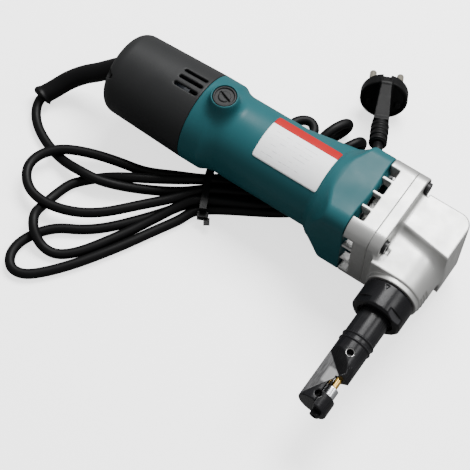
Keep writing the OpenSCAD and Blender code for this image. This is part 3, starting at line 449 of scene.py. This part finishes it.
def motor_housing():
    f = Field((X_JOINT, -33, -BOSS_TOP), (X_FLANGE, 33, BOSS_TOP), 0.6)
    section = stadium(f.y, f.z, GRIP_R, GRIP_RISE)
    grip = extruded(section, f.x, -160, X_FLANGE)
    rear = turned(f.x, f.y, f.z, [(X_JOINT, 0), (X_JOINT, BARREL_R - 0.3), (X_JOINT + 0.3, BARREL_R),
                                  (-155.5, BARREL_R), (-154.3, BARREL_R - 0.5), (-147.8, GRIP_R - 0.4), (-147, 0)])
    flare = []
    for i in range(13):
        t = i / 12
        flare.append((-75 + 20 * t, 27 + 3 * min(1, 4 * t) + 16 * t ** 2.2))
    guard = turned(f.x, f.y, f.z, [(-75, 0)] + flare + [(X_FLANGE, 46), (X_FLANGE, 0)])
    lean = math.radians(10)
    along = (f.x + 117) * math.cos(lean) + (f.y - (GRIP_R - THUMB_R)) * math.sin(lean)
    across = -(f.x + 117) * math.sin(lean) + (f.y - (GRIP_R - THUMB_R)) * math.cos(lean)
    thumb = extruded(circle(across, f.z, THUMB_R), along, -4, 90, 2)
    square = extruded(rectangle(f.y, f.z, FLANGE_HALF, FLANGE_HALF, FLANGE_CORNER), f.x, -130, X_FLANGE, 0.3)
    d = join(grip, rear, 4)
    # The blend is tight beside the label and generous at the flare
    blend = 0.8 + 6.2 * np.clip((f.x + 72) / 9, 0, 1)
    d = join(d, common(join(guard, thumb, blend), square, 1.6), blend)
    for side in (1, -1):
        boss = turned(f.z * side, f.x - X_BRUSH, f.y,
                      [(20, 0), (20, 12.6), (BOSS_TOP - 1.6, 9.3), (BOSS_TOP - 0.4, 8.9), (BOSS_TOP, 8.5), (BOSS_TOP, 0)])
        d = join(d, boss, 5)
    # Hollow inside, the brush tunnels and the switch slot
    hollow = extruded(stadium(f.y, f.z, GRIP_R - WALL, GRIP_RISE), f.x, -155, -40)
    hollow = join(hollow, bar_x(f, -163, -154, BARREL_R - WALL))
    hollow = join(hollow, bar_x(f, -60.5, -40, 26.5))
    d = cut(d, hollow, 0.5)
    for angle in range(4):
        a = math.radians(90 * angle)
        v, w = f.y * math.cos(a) + f.z * math.sin(a), -f.y * math.sin(a) + f.z * math.cos(a)
        window = common(rectangle(v - 19.5, w, 6.5, 11, 2), circle(v, w, 26))
        d = cut(d, extruded(window, f.x, -172, -160))
    d = cut(d, bar_x(f, -172, -160, 9.5))
    for side in (1, -1):
        low, high = sorted((13.5 * side, 28.6 * side))
        d = join(d, box(f, (X_BRUSH - 7.5, -6, low), (X_BRUSH + 7.5, 6, high)))
        low, high = sorted((10 * side, 31 * side))
        d = cut(d, box(f, (X_BRUSH - 5.6, -3.9, low), (X_BRUSH + 5.6, 3.9, high)))
        low, high = sorted((30 * side, 44 * side))
        d = cut(d, bar_z(f, low, high, 6.7, (X_BRUSH, 0)))
        low, high = sorted(((BOSS_TOP - 3.4) * side, 44 * side))
        d = cut(d, bar_z(f, low, high, 8.0, (X_BRUSH, 0)), 0.5)
    d = cut(d, box(f, (-131, -4.2, -34), (-105, 4.2, -24), 0.5), 0.5)
    show(skin("housing_shell", f, d, teal), "housing", "motor_housing")


def rear_cover():
    f = Field((X_REAR, -BARREL_R, -BARREL_R), (X_JOINT, BARREL_R, BARREL_R), 0.55)
    end_r, round_r = BARREL_R - 1.8, 9.0
    arc = [(math.cos(a), math.sin(a)) for a in np.linspace(0, math.pi / 2, 11)]
    outer = [(X_JOINT, 0), (X_JOINT, BARREL_R - 0.4), (X_JOINT - 0.4, BARREL_R)]
    outer += [(X_REAR + round_r - round_r * s, end_r - round_r + round_r * c) for c, s in arc] + [(X_REAR, 0)]
    inner_r = round_r - WALL
    inner = [(X_JOINT + 2, 0), (X_JOINT + 2, BARREL_R - WALL)]
    inner += [(X_REAR + round_r - inner_r * s, end_r - round_r + inner_r * c) for c, s in arc] + [(X_REAR + WALL, 0)]
    d = cut(turned(f.x, f.y, f.z, outer), turned(f.x, f.y, f.z, inner))
    d = join(d, bar_x(f, X_REAR + 1, X_REAR + 14, 9.4))
    for s in (-1, 1):
        d = join(d, bar_x(f, X_REAR + 8, X_JOINT, 3.6, (s * 18, -s * 18)))
        d = cut(d, bar_x(f, X_REAR - 1, X_REAR + 16, 3.1, (s * 18, -s * 18)), 0.4)
        d = cut(d, bar_x(f, X_REAR, X_JOINT + 1, 1.9, (s * 18, -s * 18)))
    for low, high in (((-205, -9, -27), (-203, 9, -7)), ((-207.2, -9, 5), (-205.05, 9, 27)),
                      ((-219.2, -10, -27), (-210.8, 10, -7.05))):
        d = join(d, box(f, low, high, 0.3))
    d = cut(d, bar_x(f, X_REAR - 2, X_REAR + 15, 6.25), 1.0)
    for side in (1, -1):
        for degrees in (-14, -2.5, 9):
            a = math.radians(degrees)
            across = f.y * math.cos(a) + f.z * math.sin(a)
            upward = (f.z * math.cos(a) - f.y * math.sin(a)) * side
            slot = extruded(rectangle(f.x + 181, across, 9, 1.25, 1.2), upward, 24, 36)
            d = cut(d, slot, 0.7)
    show(skin("rear_shell", f, d, black), "housing", "rear_cover")


def brush_caps():
    for side, node in ((1, "right_brush_cap"), (-1, "left_brush_cap")):
        low, high = sorted((31 * side, BOSS_TOP * side))
        f = Field((X_BRUSH - 8, -8, low), (X_BRUSH + 8, 8, high), 0.25)
        up = f.z * side
        d = turned(up, f.x - X_BRUSH, f.y, [(31.1, 0), (31.1, 6.4), (BOSS_TOP - 3.3, 6.5), (BOSS_TOP - 3.3, 7.7),
                                            (BOSS_TOP - 1.0, 7.8), (BOSS_TOP - 0.5, 7.3), (BOSS_TOP - 0.5, 6.5),
                                            (BOSS_TOP - 1.4, 6.2), (BOSS_TOP - 1.4, 4.2), (BOSS_TOP - 0.7, 3.8),
                                            (BOSS_TOP - 0.7, 0)])
        a = math.radians(-20)
        along = (f.x - X_BRUSH) * math.cos(a) + f.y * math.sin(a)
        across = -(f.x - X_BRUSH) * math.sin(a) + f.y * math.cos(a)
        d = cut(d, extruded(rectangle(along, across, 4.9, 0.75), up, BOSS_TOP - 2.2, 45), 0.3)
        show(skin(node + "_skin", f, d, black), "housing", node)


def rating_label():
    """A thin plate wrapped on the grip, with rounded corners."""
    columns, rows, thick = 60, 36, 0.32
    centre_z = GRIP_RISE
    first, last = math.asin(-17.5 / GRIP_R), math.asin(14.5 / GRIP_R)
    x1, x2, corner = -120.3, -72.2, 1.6
    half_w, half_h = (x2 - x1) / 2, (last - first) / 2 * GRIP_R
    points = []
    for lift in (thick, 0.03):
        for i in range(columns + 1):
            for j in range(rows + 1):
                u, v = (2 * i / columns - 1) * half_w, (2 * j / rows - 1) * half_h
                over_u, over_v = abs(u) - half_w + corner, abs(v) - half_h + corner
                if over_u > 0 and over_v > 0:
                    shrink = corner / max(corner, math.hypot(over_u, over_v))
                    u = math.copysign(half_w - corner + over_u * shrink, u)
                    v = math.copysign(half_h - corner + over_v * shrink, v)
                angle = (first + last) / 2 + v / GRIP_R
                radius = GRIP_R + lift
                points.append(((x1 + x2) / 2 + u, radius * math.sin(angle), centre_z + radius * math.cos(angle)))
    stride, layer = rows + 1, (columns + 1) * (rows + 1)
    quads = []
    for i in range(columns):
        for j in range(rows):
            a = i * stride + j
            quads.append((a, a + stride, a + stride + 1, a + 1))
            quads.append((layer + a, layer + a + 1, layer + a + stride + 1, layer + a + stride))
    rim = [j for j in range(rows)] + [i * stride + rows for i in range(columns)]
    rim += [columns * stride + j for j in range(rows, 0, -1)] + [i * stride for i in range(columns, 0, -1)]
    for k, a in enumerate(rim):
        b = rim[(k + 1) % len(rim)]
        quads.append((a, b, layer + b, layer + a))
    obj = new_object("label_plate", points, quads, label)
    show(obj, "housing", "rating_label")


# ---------------------------------------------------------------- cast head


def gear_housing_cover():
    f = Field((X_FLANGE, -FLANGE_HALF, -FLANGE_HALF), (X_SEAM, FLANGE_HALF, FLANGE_HALF), 0.45)
    d = extruded(rectangle(f.y, f.z, FLANGE_HALF, FLANGE_HALF, FLANGE_CORNER), f.x, X_FLANGE + 0.05, X_SEAM, 0.35)
    well = cut(bar_x(f, X_FLANGE - 4, -35.2, 27), bar_x(f, X_FLANGE - 8, -30, 13.5))
    d = cut(d, well, 0.6)
    d = cut(d, bar_x(f, X_FLANGE - 4, -34.4, 11.05))
    d = cut(d, bar_x(f, -36, X_SEAM + 2, 5))
    for sign in (1, -1):
        for y, half in ((-17.3, 4.2), (-6, 4.9), (6, 4.9), (17.3, 4.2)):
            low, high = sorted((17 * sign, 36 * sign))
            d = cut(d, box(f, (X_FLANGE - 5, y - half, low), (-35.2, y + half, high), 0.9), 0.7)
        for z, half in ((-14.7, 5.7), (0, 7), (14.7, 5.7)):
            low, high = sorted((18 * sign, 36 * sign))
            d = cut(d, box(f, (X_FLANGE - 5, low, z - half), (-35.2, high, z + half), 0.9), 0.7)
        for other in (1, -1):
            d = cut(d, bar_x(f, X_FLANGE - 2, X_SEAM + 2, 2.7, (25 * sign, 24 * other)))
    show(skin("cover_casting", f, d, alloy), "housing", "gear_housing_cover")


def gear_housing():
    f = Field((X_SEAM, Y_NOSE, -FLANGE_HALF), (X_FRONT, FLANGE_HALF, FLANGE_HALF), 0.45)
    flange = extruded(rectangle(f.y, f.z, FLANGE_HALF, FLANGE_HALF, FLANGE_CORNER), f.x, X_SEAM, X_HEAD, 1.0)
    flange = join(flange, extruded(rectangle(f.y, f.z, FLANGE_HALF, FLANGE_HALF, FLANGE_CORNER), f.x, X_SEAM, X_SEAM + 3))
    corner = 9.0
    arc = [(X_FRONT - corner + corner * math.cos(a), 14 + corner * math.sin(a)) for a in np.linspace(0, math.pi / 2, 9)]
    outline = [(X_HEAD - 3, -4.2), (X_FRONT, -10.4)] + arc + [(X_HEAD - 3, 23)]
    block = extruded(polygon(f.x, f.y, outline), f.z, -24, 24, 1.3)
    neck_plan = join(circle(f.x, f.z, X_FRONT), rectangle(f.x + 9.5, f.z, 9.5, X_FRONT))
    neck = extruded(neck_plan, f.y, -36.8, 0, 0.9)
    d = join(block, neck, 7)
    d = join(d, flange, 3.5)
    d = np.maximum(d, X_SEAM - f.x)
    for y, z in ((25, 24), (25, -24), (-25, 24), (-25, -24)):
        d = cut(d, bar_x(f, X_HEAD - 1.5, X_HEAD + 4, 5.1, (y, z)), 0.5)
        d = cut(d, bar_x(f, X_SEAM - 2, X_HEAD + 2, 2.7, (y, z)))
    d = join(d, bar_y(f, -34, Y_NOSE + 0.35, 18.3, edge=0.3))
    # Three short cast grooves on the front of the neck
    for y in (-29.3, -32.3, -35.3):
        groove = np.sqrt((np.sqrt(f.x ** 2 + f.z ** 2) - X_FRONT) ** 2 + (f.y - y) ** 2) - 1.2
        d = cut(d, np.maximum(groove, np.maximum(np.abs(f.z) - 8, 8 - f.x)), 0.2)
    # Chambers inside
    d = cut(d, bar_x(f, X_SEAM - 3, -6.5, 19.8))
    d = cut(d, bar_x(f, X_SEAM - 3, -19.4, 13, (10.34, 10.34)))
    d = cut(d, bar_x(f, -7, 6.7, 17.9))
    d = cut(d, bar_x(f, 6, 16.6, 6))
    d = cut(d, bar_y(f, -14, Y_NOSE - 3, 11.5))
    show(skin("head_casting", f, d, alloy), "housing", "gear_housing")


# ---------------------------------------------------------------- nose


def lock_nut():
    f = Field((-NUT_R, Y_NOSE - NUT_LENGTH, -NUT_R), (NUT_R, Y_NOSE, NUT_R), 0.35)
    end = Y_NOSE - NUT_LENGTH
    d = turned(f.y, f.x, f.z, [(end, 0), (end, 15.6), (end + 0.9, 16.4), (end + 1.4, NUT_R), (Y_NOSE - 0.9, NUT_R),
                               (Y_NOSE - 0.1, NUT_R - 0.8), (Y_NOSE - 0.1, 0)])
    a = math.radians(45)
    flats = rectangle(f.x * math.cos(a) + f.z * math.sin(a), f.z * math.cos(a) - f.x * math.sin(a), NUT_FLAT, NUT_FLAT)
    d = common(d, np.minimum(flats, end + 5.0 - f.y), 0.4)
    d = cut(d, bar_y(f, Y_NOSE + 2, Y_COLLAR + 0.05, 13.45))
    d = cut(d, bar_y(f, Y_COLLAR + 0.1, Y_COLLAR - 2.1, 13.2))
    d = cut(d, bar_y(f, Y_COLLAR - 1, end - 2, 12.3), 0.6)
    # Index mark: a small engraved arrow near the upper rim
    angle = np.arctan2(f.x, f.z) + 0.13
    sideways = angle * NUT_R
    arrow = polygon(sideways + 0 * f.y, f.y + 0 * sideways, [(-1.6, -42.3), (1.6, -42.3), (0.2, -45.2)])
    d = cut(d, np.maximum(arrow, NUT_R - 0.45 - np.sqrt(f.x ** 2 + f.z ** 2)))
    show(skin("lock_nut_body", f, d, oxide), "nut", "lock_nut")


def die_holder():
    block_end, web = Y_TIP - 2.5, PUNCH_R - 0.15
    f = Field((-13.1, block_end, -13.1), (13.1, -46, 13.1), 0.28)
    body = turned(f.y, f.x, f.z, [(Y_TIP, 0), (Y_TIP, HOLDER_R - 0.5), (Y_TIP + 0.5, HOLDER_R),
                                  (Y_COLLAR - 2, HOLDER_R), (Y_COLLAR - 2, 12.9), (Y_COLLAR - 1.8, 13.1),
                                  (Y_COLLAR - 0.2, 13.1), (Y_COLLAR, 12.9), (Y_COLLAR, 10), (-46.6, 10), (-46, 9.4), (-46, 0)])
    d = body
    for y in (-77.45, -81.45):
        ring = np.sqrt((np.sqrt(f.x ** 2 + f.z ** 2) - HOLDER_R) ** 2 + (f.y - y) ** 2) - 0.7
        d = join(d, ring, 0.15)
    block = common(bar_y(f, -117, block_end, HOLDER_R, edge=0.6), 1.2 - f.x, 0.4)
    d = join(d, block)
    d = cut(d, bar_y(f, -44, -76.5, 7.2))
    d = cut(d, bar_y(f, -76, -97.2, 4.05, (PUNCH_X - 1.75, 0)))
    d = cut(d, bar_y(f, -97, Y_STRIPPER - 2, PUNCH_R + 0.03, (PUNCH_X, 0)))
    d = cut(d, bar_z(f, 6, 14, 2.2, (1.6, -90)), 0.6)
    d = cut(d, box(f, (1.5, -119.5, -14), (14, Y_STRIPPER, 14)), 0.3)
    for sign in (1, -1):
        mirrored = Field.__new__(Field)
        mirrored.x, mirrored.y, mirrored.z = f.x, f.y, f.z * sign
        above = web - mirrored.z
        nose = -plane(mirrored, (-8.9, -93.2, web), (-0.52, -0.60, 0.61))
        shoulder = -plane(mirrored, (-8.9, -123.9, web), (-0.824, 0.483, 0.296))
        d = cut(d, np.maximum(np.maximum(nose, shoulder), above), 0.35)
        chamfer = -plane(mirrored, (6.3, -97, 8.3), (0.69, -0.26, 0.68))
        d = cut(d, np.maximum(np.maximum(chamfer, -107 - f.y), above), 0.3)
    d = cut(d, bar_y(f, -110, -125, 4.32, (PUNCH_X, 0)))
    d = cut(d, bar_y(f, -124, block_end - 2, 2.1, (PUNCH_X, 0)))
    d = cut(d, box(f, (0.7, block_end - 2, 4.4), (1.3, -112, 14)))
    d = cut(d, bar_z(f, -14, 14, 2.2, (0.2, -122.5)), 0.5)
    show(skin("holder_body", f, d, holder_steel), "nose", "die_holder")


def punch_and_die():
    f = Field((-5, Y_DIE + 0.5, -5), (6.5, -60, 5), 0.22)
    d = bar_y(f, -60.05, -63.0, 5, edge=0.3)
    d = join(d, bar_y(f, -62.5, -70, 3.5, edge=0.2))
    d = join(d, bar_y(f, -69.9, -94, 4, (PUNCH_X - 1.75, 0), edge=0.4))
    d = join(d, bar_y(f, -93, Y_DIE + 0.5, PUNCH_R, (PUNCH_X, 0)), 0.8)
    show(skin("punch_bar", f, d, gold), "punch", "punch")

    f = Field((PUNCH_X - 4.4, -125, -4.4), (PUNCH_X + 4.4, Y_DIE, 4.4), 0.2)
    d = bar_y(f, Y_DIE, -124.9, 4.3, (PUNCH_X, 0), edge=0.25)
    d = cut(d, bar_y(f, Y_DIE + 2, -119, PUNCH_R + 0.08, (PUNCH_X, 0)), 0.15)
    d = cut(d, bar_y(f, -118, -126, 1.9, (PUNCH_X, 0)))
    d = cut(d, box(f, (PUNCH_X - 6, -121.2, -2), (PUNCH_X, -118.5, 2), 0.3), 0.2)
    show(skin("die_body", f, d, steel), "nose", "die")

    end = Y_TIP - 5.3
    f = Field((PUNCH_X - 3.2, end, -3.2), (PUNCH_X + 3.2, -121.6, 3.2), 0.18)
    d = join(bar_y(f, -121.6, Y_TIP - 2.6, 1.85, (PUNCH_X, 0)), bar_y(f, Y_TIP - 2.5, end, 3.1, (PUNCH_X, 0), edge=0.4))
    hexagon = None
    for k in range(6):
        a = math.radians(60 * k)
        side = (f.x - PUNCH_X) * math.cos(a) + f.z * math.sin(a) - 1.55
        hexagon = side if hexagon is None else np.maximum(hexagon, side)
    d = cut(d, np.maximum(hexagon, f.y - (Y_TIP - 3.6)), 0.15)
    show(skin("die_screw_body", f, d, oxide), "nose", "die_screw")


# ---------------------------------------------------------------- cord, guard, plug


def at_tie(i):
    return (-146 + 0.45 * (i - 3) * 3.75, -31 - 0.89 * (i - 3) * 3.75, CORD_Z + 1.3 + (i % 2) * 6.3)


def pass_out(i):
    """One pass of the cord from the tie, under the barrel, to the far side."""
    return [at_tie(i), (-139.5 + 8.6 * i, -8, CORD_Z), (-133.5 + 8.3 * i, 12, CORD_Z), (-128.5 + 7.9 * i, 27, CORD_Z)]


def pass_back(i):
    return pass_out(i)[::-1]


def laid(*stations):
    """Points on or above the bench, from (x, y, height above the cord's resting level)."""
    return [(x, y, CORD_Z + up) for x, y, up in stations]


PLUG_CENTRE = np.array((-88.9, 100.4, -23.3))
PLUG_AXIS = np.array((-0.411, 0.877, -0.251)) / np.linalg.norm((-0.411, 0.877, -0.251))
GUARD_PATH = [(-219.6, 0, 0), (-228, 0, 0), (-235, 0, 0), (-239.5, -0.4, -0.8), (-246, -2.9, -5.6),
              (-254, -6, -12), (-264, -10.5, -18.5), (-272.5, -17, -24.5), (-279, -26, -29.5), (-284, -36, -33)]


def cord_path():
    path = [(-205, 0, 0), (-209, 0, 0)] + GUARD_PATH
    path += laid((-281, -46, 0), (-270, -56, 0), (-254, -63, 0), (-239, -67, 3), (-224, -68.5, 7.4),
                 (-209, -67, 7.4), (-193, -60, 5), (-176, -49, 1), (-160, -38, 0))
    path += pass_out(2)
    path += laid((-107, 44, 0), (-100, 58, 0), (-96, 66, 4), (-97, 66, 9.5), (-101, 57, 11.5), (-105, 44, 8.5))
    path += pass_back(3)
    path += laid((-160, -49, 7), (-175, -66, 7.4), (-190, -83, 7.4), (-203, -93, 7.4), (-217, -99, 7.4),
                 (-230, -101, 7.4), (-242, -99, 7.4), (-251, -92, 7.4), (-255, -83, 7.4), (-253, -73, 7.4),
                 (-246, -64, 7.6), (-236, -57.5, 7.4), (-222, -51.5, 6.4), (-206, -46, 4), (-190, -41, 1),
                 (-172, -31, 0))
    path += pass_out(0)
    path += laid((-131, 42, 0), (-129, 53, 0), (-121, 58, 0), (-114, 52, 0), (-116, 41, 0))
    path += pass_back(1)
    path += laid((-164, -34, 6.8), (-180, -45.5, 8), (-196, -55, 7.5), (-209, -61, 2.5), (-219, -69, 0),
                 (-226, -78, 0), (-229, -90, 0), (-230, -102, 2), (-228, -112, 7.4), (-221.5, -121, 6.5),
                 (-212, -125.5, 1.5), (-201, -124.5, 0), (-191, -116, 0), (-182, -102, 0), (-172, -83.5, 0),
                 (-162.5, -64.5, 1.5), (-153, -48, 5))
    path += pass_out(5)
    path += laid((-87, 42, 0), (-83, 52, 0), (-80.5, 59, 4), (-81.5, 59, 9.5), (-85, 51, 11.5), (-91, 40, 8))
    path += pass_back(4)
    path += laid((-159, -55, 0), (-172, -73, 0), (-186, -90, 0), (-199, -101, 0), (-211, -108, 0),
                 (-220, -118, 0), (-225.5, -130, 0), (-225.5, -141, 0), (-219, -149, 0), (-209, -148, 0),
                 (-199, -139, 0), (-188, -125, 0), (-177.5, -108.5, 0), (-167.5, -91, 0), (-157.5, -71.5, 0),
                 (-149, -56, 0))
    path += pass_out(6)
    path += [(-75.5, 32.5, -30.5), (-68.5, 39.5, -21), (-64.3, 47.2, -9.2)]
    path += [tuple(PLUG_CENTRE + z * PLUG_AXIS) for z in (-53, -45, -37)]
    return path


def cord():
    curve = spline(cord_path(), 10)
    # A light relaxation takes the small kinks out of the laid path
    relaxed = curve.copy()
    for _ in range(25):
        relaxed[30:-30] += 0.35 * ((relaxed[29:-31] + relaxed[31:-29]) / 2 - relaxed[30:-30])
    show(tube("cord_run", relaxed, [CORD_R] * len(relaxed), 20, rubber), "housing", "cord")


def cord_guard():
    curve = spline([(-212, 0, 0)] + GUARD_PATH + laid((-281, -46, 0)), 12)
    total = len(curve)
    radii = []
    for i, point in enumerate(curve):
        left = (total - 1 - i) * 0.85
        radius = 6.1 if point[0] > X_REAR - 0.5 else 6.9 - 0.4 * i / total
        radius += 1.3 * math.exp(-((left - 1.8) / 1.5) ** 2)
        if left < 1.2:
            radius -= 1.2 * (1 - left / 1.2) ** 2
        radii.append(radius)
    sheath = tube("guard_sheath", curve, radii, 32, rubber)
    show(sheath, "housing", "cord_guard")


def plug_to_row(points):
    """From the plug's own axes, +Z along its pins and Y level, to the row's frame."""
    turn = math.atan2(PLUG_AXIS[1], PLUG_AXIS[0])
    tilt = math.acos(PLUG_AXIS[2])
    matrix = np.array(Matrix.Rotation(turn, 3, "Z") @ Matrix.Rotation(tilt, 3, "Y"))
    return points @ matrix.T + PLUG_CENTRE


def plug():
    f = Field((-PLUG_R, -PLUG_R, -53.2), (PLUG_R, PLUG_R, 0), 0.4)
    d = extruded(circle(f.x, f.y, PLUG_R), f.z, -8.5, 0, 1.0)
    dish = extruded(circle(f.x, f.y, PLUG_R - 2.2), f.z, -12, -6.8, 0.8)
    d = cut(d, dish, 0.6)
    blade = polygon(f.x, f.z, [(-16, -5), (-16.3, -9), (-12.5, -17), (-6.3, -31), (-6.0, -34), (6.0, -34), (6.3, -31),
                               (12.5, -17), (16.3, -9), (16, -5)])
    waist = 3.6 + 1.6 * np.clip((-f.z - 8) / 24, 0, 1)
    grip = np.maximum(blade, np.abs(f.y) - waist)
    d = join(d, grip, 2.0)
    for s in (-1, 1):
        bump = rectangle(f.x - 4.5, f.y - s * 10, 2.3, 2.2, 1)
        d = join(d, extruded(bump, f.z, -8.2, -3, 0.8), 0.5)
    relief = turned(f.z, f.x, f.y, [(-53, 0), (-53, 4.8), (-52.6, 5.1), (-31, 5.6), (-30, 0)])
    d = join(d, relief, 1.0)
    for z in (-50.9, -46.0, -41.1, -36.2):
        d = join(d, extruded(circle(f.x, f.y, 6.2), f.z, z - 1.35, z + 1.35, 0.6), 0.5)
    for s in (-1, 1):
        low, high = sorted((s * (PLUG_R - 2.2), s * (PLUG_R + 2)))
        d = cut(d, box(f, (low, -2.6, -6), (high, 2.6, 2), 0.3), 0.4)
        d = cut(d, extruded(circle(f.x, f.y - s * PIN_SPACING / 2, 3.1), f.z, -1.0, 2), 0.3)
    show(skin("plug_moulding", f, d, rubber, plug_to_row), "housing", "plug_body")
    for s, name in ((-1, "a"), (1, "b")):
        f = Field((-2.5, s * PIN_SPACING / 2 - 2.5, -5.9), (2.5, s * PIN_SPACING / 2 + 2.5, 19), 0.2)
        d = extruded(circle(f.x, f.y - s * PIN_SPACING / 2, 2.4), f.z, -5.9, 19, 1.3)
        pin = skin("plug_pin_" + name, f, d, nickel, plug_to_row)
        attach(pin, "housing")
        if s > 0:
            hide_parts("plug_pins")


# ---------------------------------------------------------------- small parts kept from the CAD

CAD_FINISH = {
    "housing_screws": screw_black, "rear_cover_screws": screw_black, "cord_clamp_screws": screw_black,
    "brush_holders": brass, "carbon_brushes": carbon, "brush_springs": steel,
    "field_core": core_steel, "near_field_coil": copper, "far_field_coil": copper, "baffle_plate": black,
    "switch_body": dark, "suppression_capacitor": resin, "cord_clamp": dark, "cable_tie": nylon,
    "rear_armature_bearing": steel, "front_armature_bearing": steel, "bearing_plate": alloy,
    "crank_bearing": steel, "front_needle_bearing": steel, "layshaft_bushes": bronze, "nose_bush": steel,
    "armature_shaft": steel, "armature_core": core_steel, "armature_winding": copper, "commutator": copper_bar,
    "cooling_fan": dark, "layshaft": gear_steel, "layshaft_gear": gear_steel, "output_gear": gear_steel,
    "crankshaft": gear_steel, "crank_journal": gear_steel, "crank_pin_bearing": steel,
    "connecting_rod": gear_steel, "wrist_pin": steel, "ram": steel, "switch_knob": black, "switch_link": steel,
}
BEVELLED = ("housing_screws", "rear_cover_screws", "cable_tie", "switch_knob", "cooling_fan", "connecting_rod",
            "bearing_plate", "ram", "switch_body", "cord_clamp", "field_core", "brush_holders")


def dress_cad_nodes():
    """Finishes the CAD pieces that are shown as they are, with softened edges where they're seen."""
    for name, material in CAD_FINISH.items():
        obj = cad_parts[name]
        obj.data.materials.clear()
        obj.data.materials.append(material)
        if name in BEVELLED:
            bevel = obj.modifiers.new("soft_edges", "BEVEL")
            bevel.width = 0.25 * MM
            bevel.segments = 2
            bevel.limit_method = "ANGLE"
            bevel.angle_limit = math.radians(40)


# ---------------------------------------------------------------- stage, light and camera


def build_stage():
    # The bench looks brighter to the camera than the light it throws back at the tool
    n = Nodes("bench_paper")
    seen = n.add("ShaderNodeLightPath").outputs["Is Camera Ray"]
    paper = n.mix(n.ramp(n.noise(3, 3), 0.3, 0.7), (0.94, 0.94, 0.94), (0.96, 0.96, 0.96))
    material = n.finish(n.mix(seen, (0.16, 0.16, 0.16), paper), 0.7, specular=0.1)
    n.link((1.0, 1.0, 1.0, 1.0), n.shader.inputs["Emission Color"])
    n.link(n.math("MULTIPLY", seen, 1.7), n.shader.inputs["Emission Strength"])
    size, steps = 3000.0, 24
    points = [(-size + 2 * size * i / steps, -size + 2 * size * j / steps, Z_FLOOR)
              for i in range(steps + 1) for j in range(steps + 1)]
    quads = [(i * (steps + 1) + j, (i + 1) * (steps + 1) + j, (i + 1) * (steps + 1) + j + 1, i * (steps + 1) + j + 1)
             for i in range(steps) for j in range(steps)]
    new_object("bench", points, quads, material)

    world = bpy.data.worlds.new("studio")
    world.use_nodes = True
    world.node_tree.nodes["Background"].inputs["Color"].default_value = (1, 1, 1, 1)
    world.node_tree.nodes["Background"].inputs["Strength"].default_value = 0.5
    bpy.context.scene.world = world


def softbox(name, place, aim, size, power):
    light = bpy.data.lights.new(name, "AREA")
    light.shape = "RECTANGLE"
    light.size, light.size_y = size
    light.energy = power
    obj = bpy.data.objects.new(name, light)
    obj.location = place
    obj.rotation_euler = (Vector(aim) - Vector(place)).to_track_quat("-Z", "Y").to_euler()
    bpy.context.scene.collection.objects.link(obj)


def build_camera():
    azimuth, elevation, roll = math.radians(33.76), math.radians(62.49), math.radians(1.34)
    target = Vector((-0.1222, -0.06065, 0.0))
    back = Vector((math.sin(azimuth) * math.cos(elevation), -math.cos(azimuth) * math.cos(elevation),
                   math.sin(elevation)))
    right = Vector((math.cos(azimuth), math.sin(azimuth), 0))
    up = back.cross(right)
    right_rolled = right * math.cos(roll) + up * math.sin(roll)
    up_rolled = -right * math.sin(roll) + up * math.cos(roll)
    data = bpy.data.cameras.new("camera")
    data.sensor_width = 36
    data.lens = 103.08
    data.clip_start = 0.01
    camera = bpy.data.objects.new("camera", data)
    turn = Matrix((right_rolled, up_rolled, back)).transposed().to_4x4()
    camera.matrix_world = Matrix.Translation(target + back * 0.85) @ turn
    bpy.context.scene.collection.objects.link(camera)
    bpy.context.scene.camera = camera


motor_housing()
rear_cover()
brush_caps()
rating_label()
gear_housing_cover()
gear_housing()
lock_nut()
die_holder()
punch_and_die()
cord()
cord_guard()
plug()
dress_cad_nodes()

build_stage()
softbox("key", (-0.17, 0.7, 1.1), (-0.12, 0, 0), (0.8, 0.6), 36)
softbox("side", (0.78, 0.6, 1.0), (-0.04, 0, 0), (0.5, 0.5), 8)
build_camera()
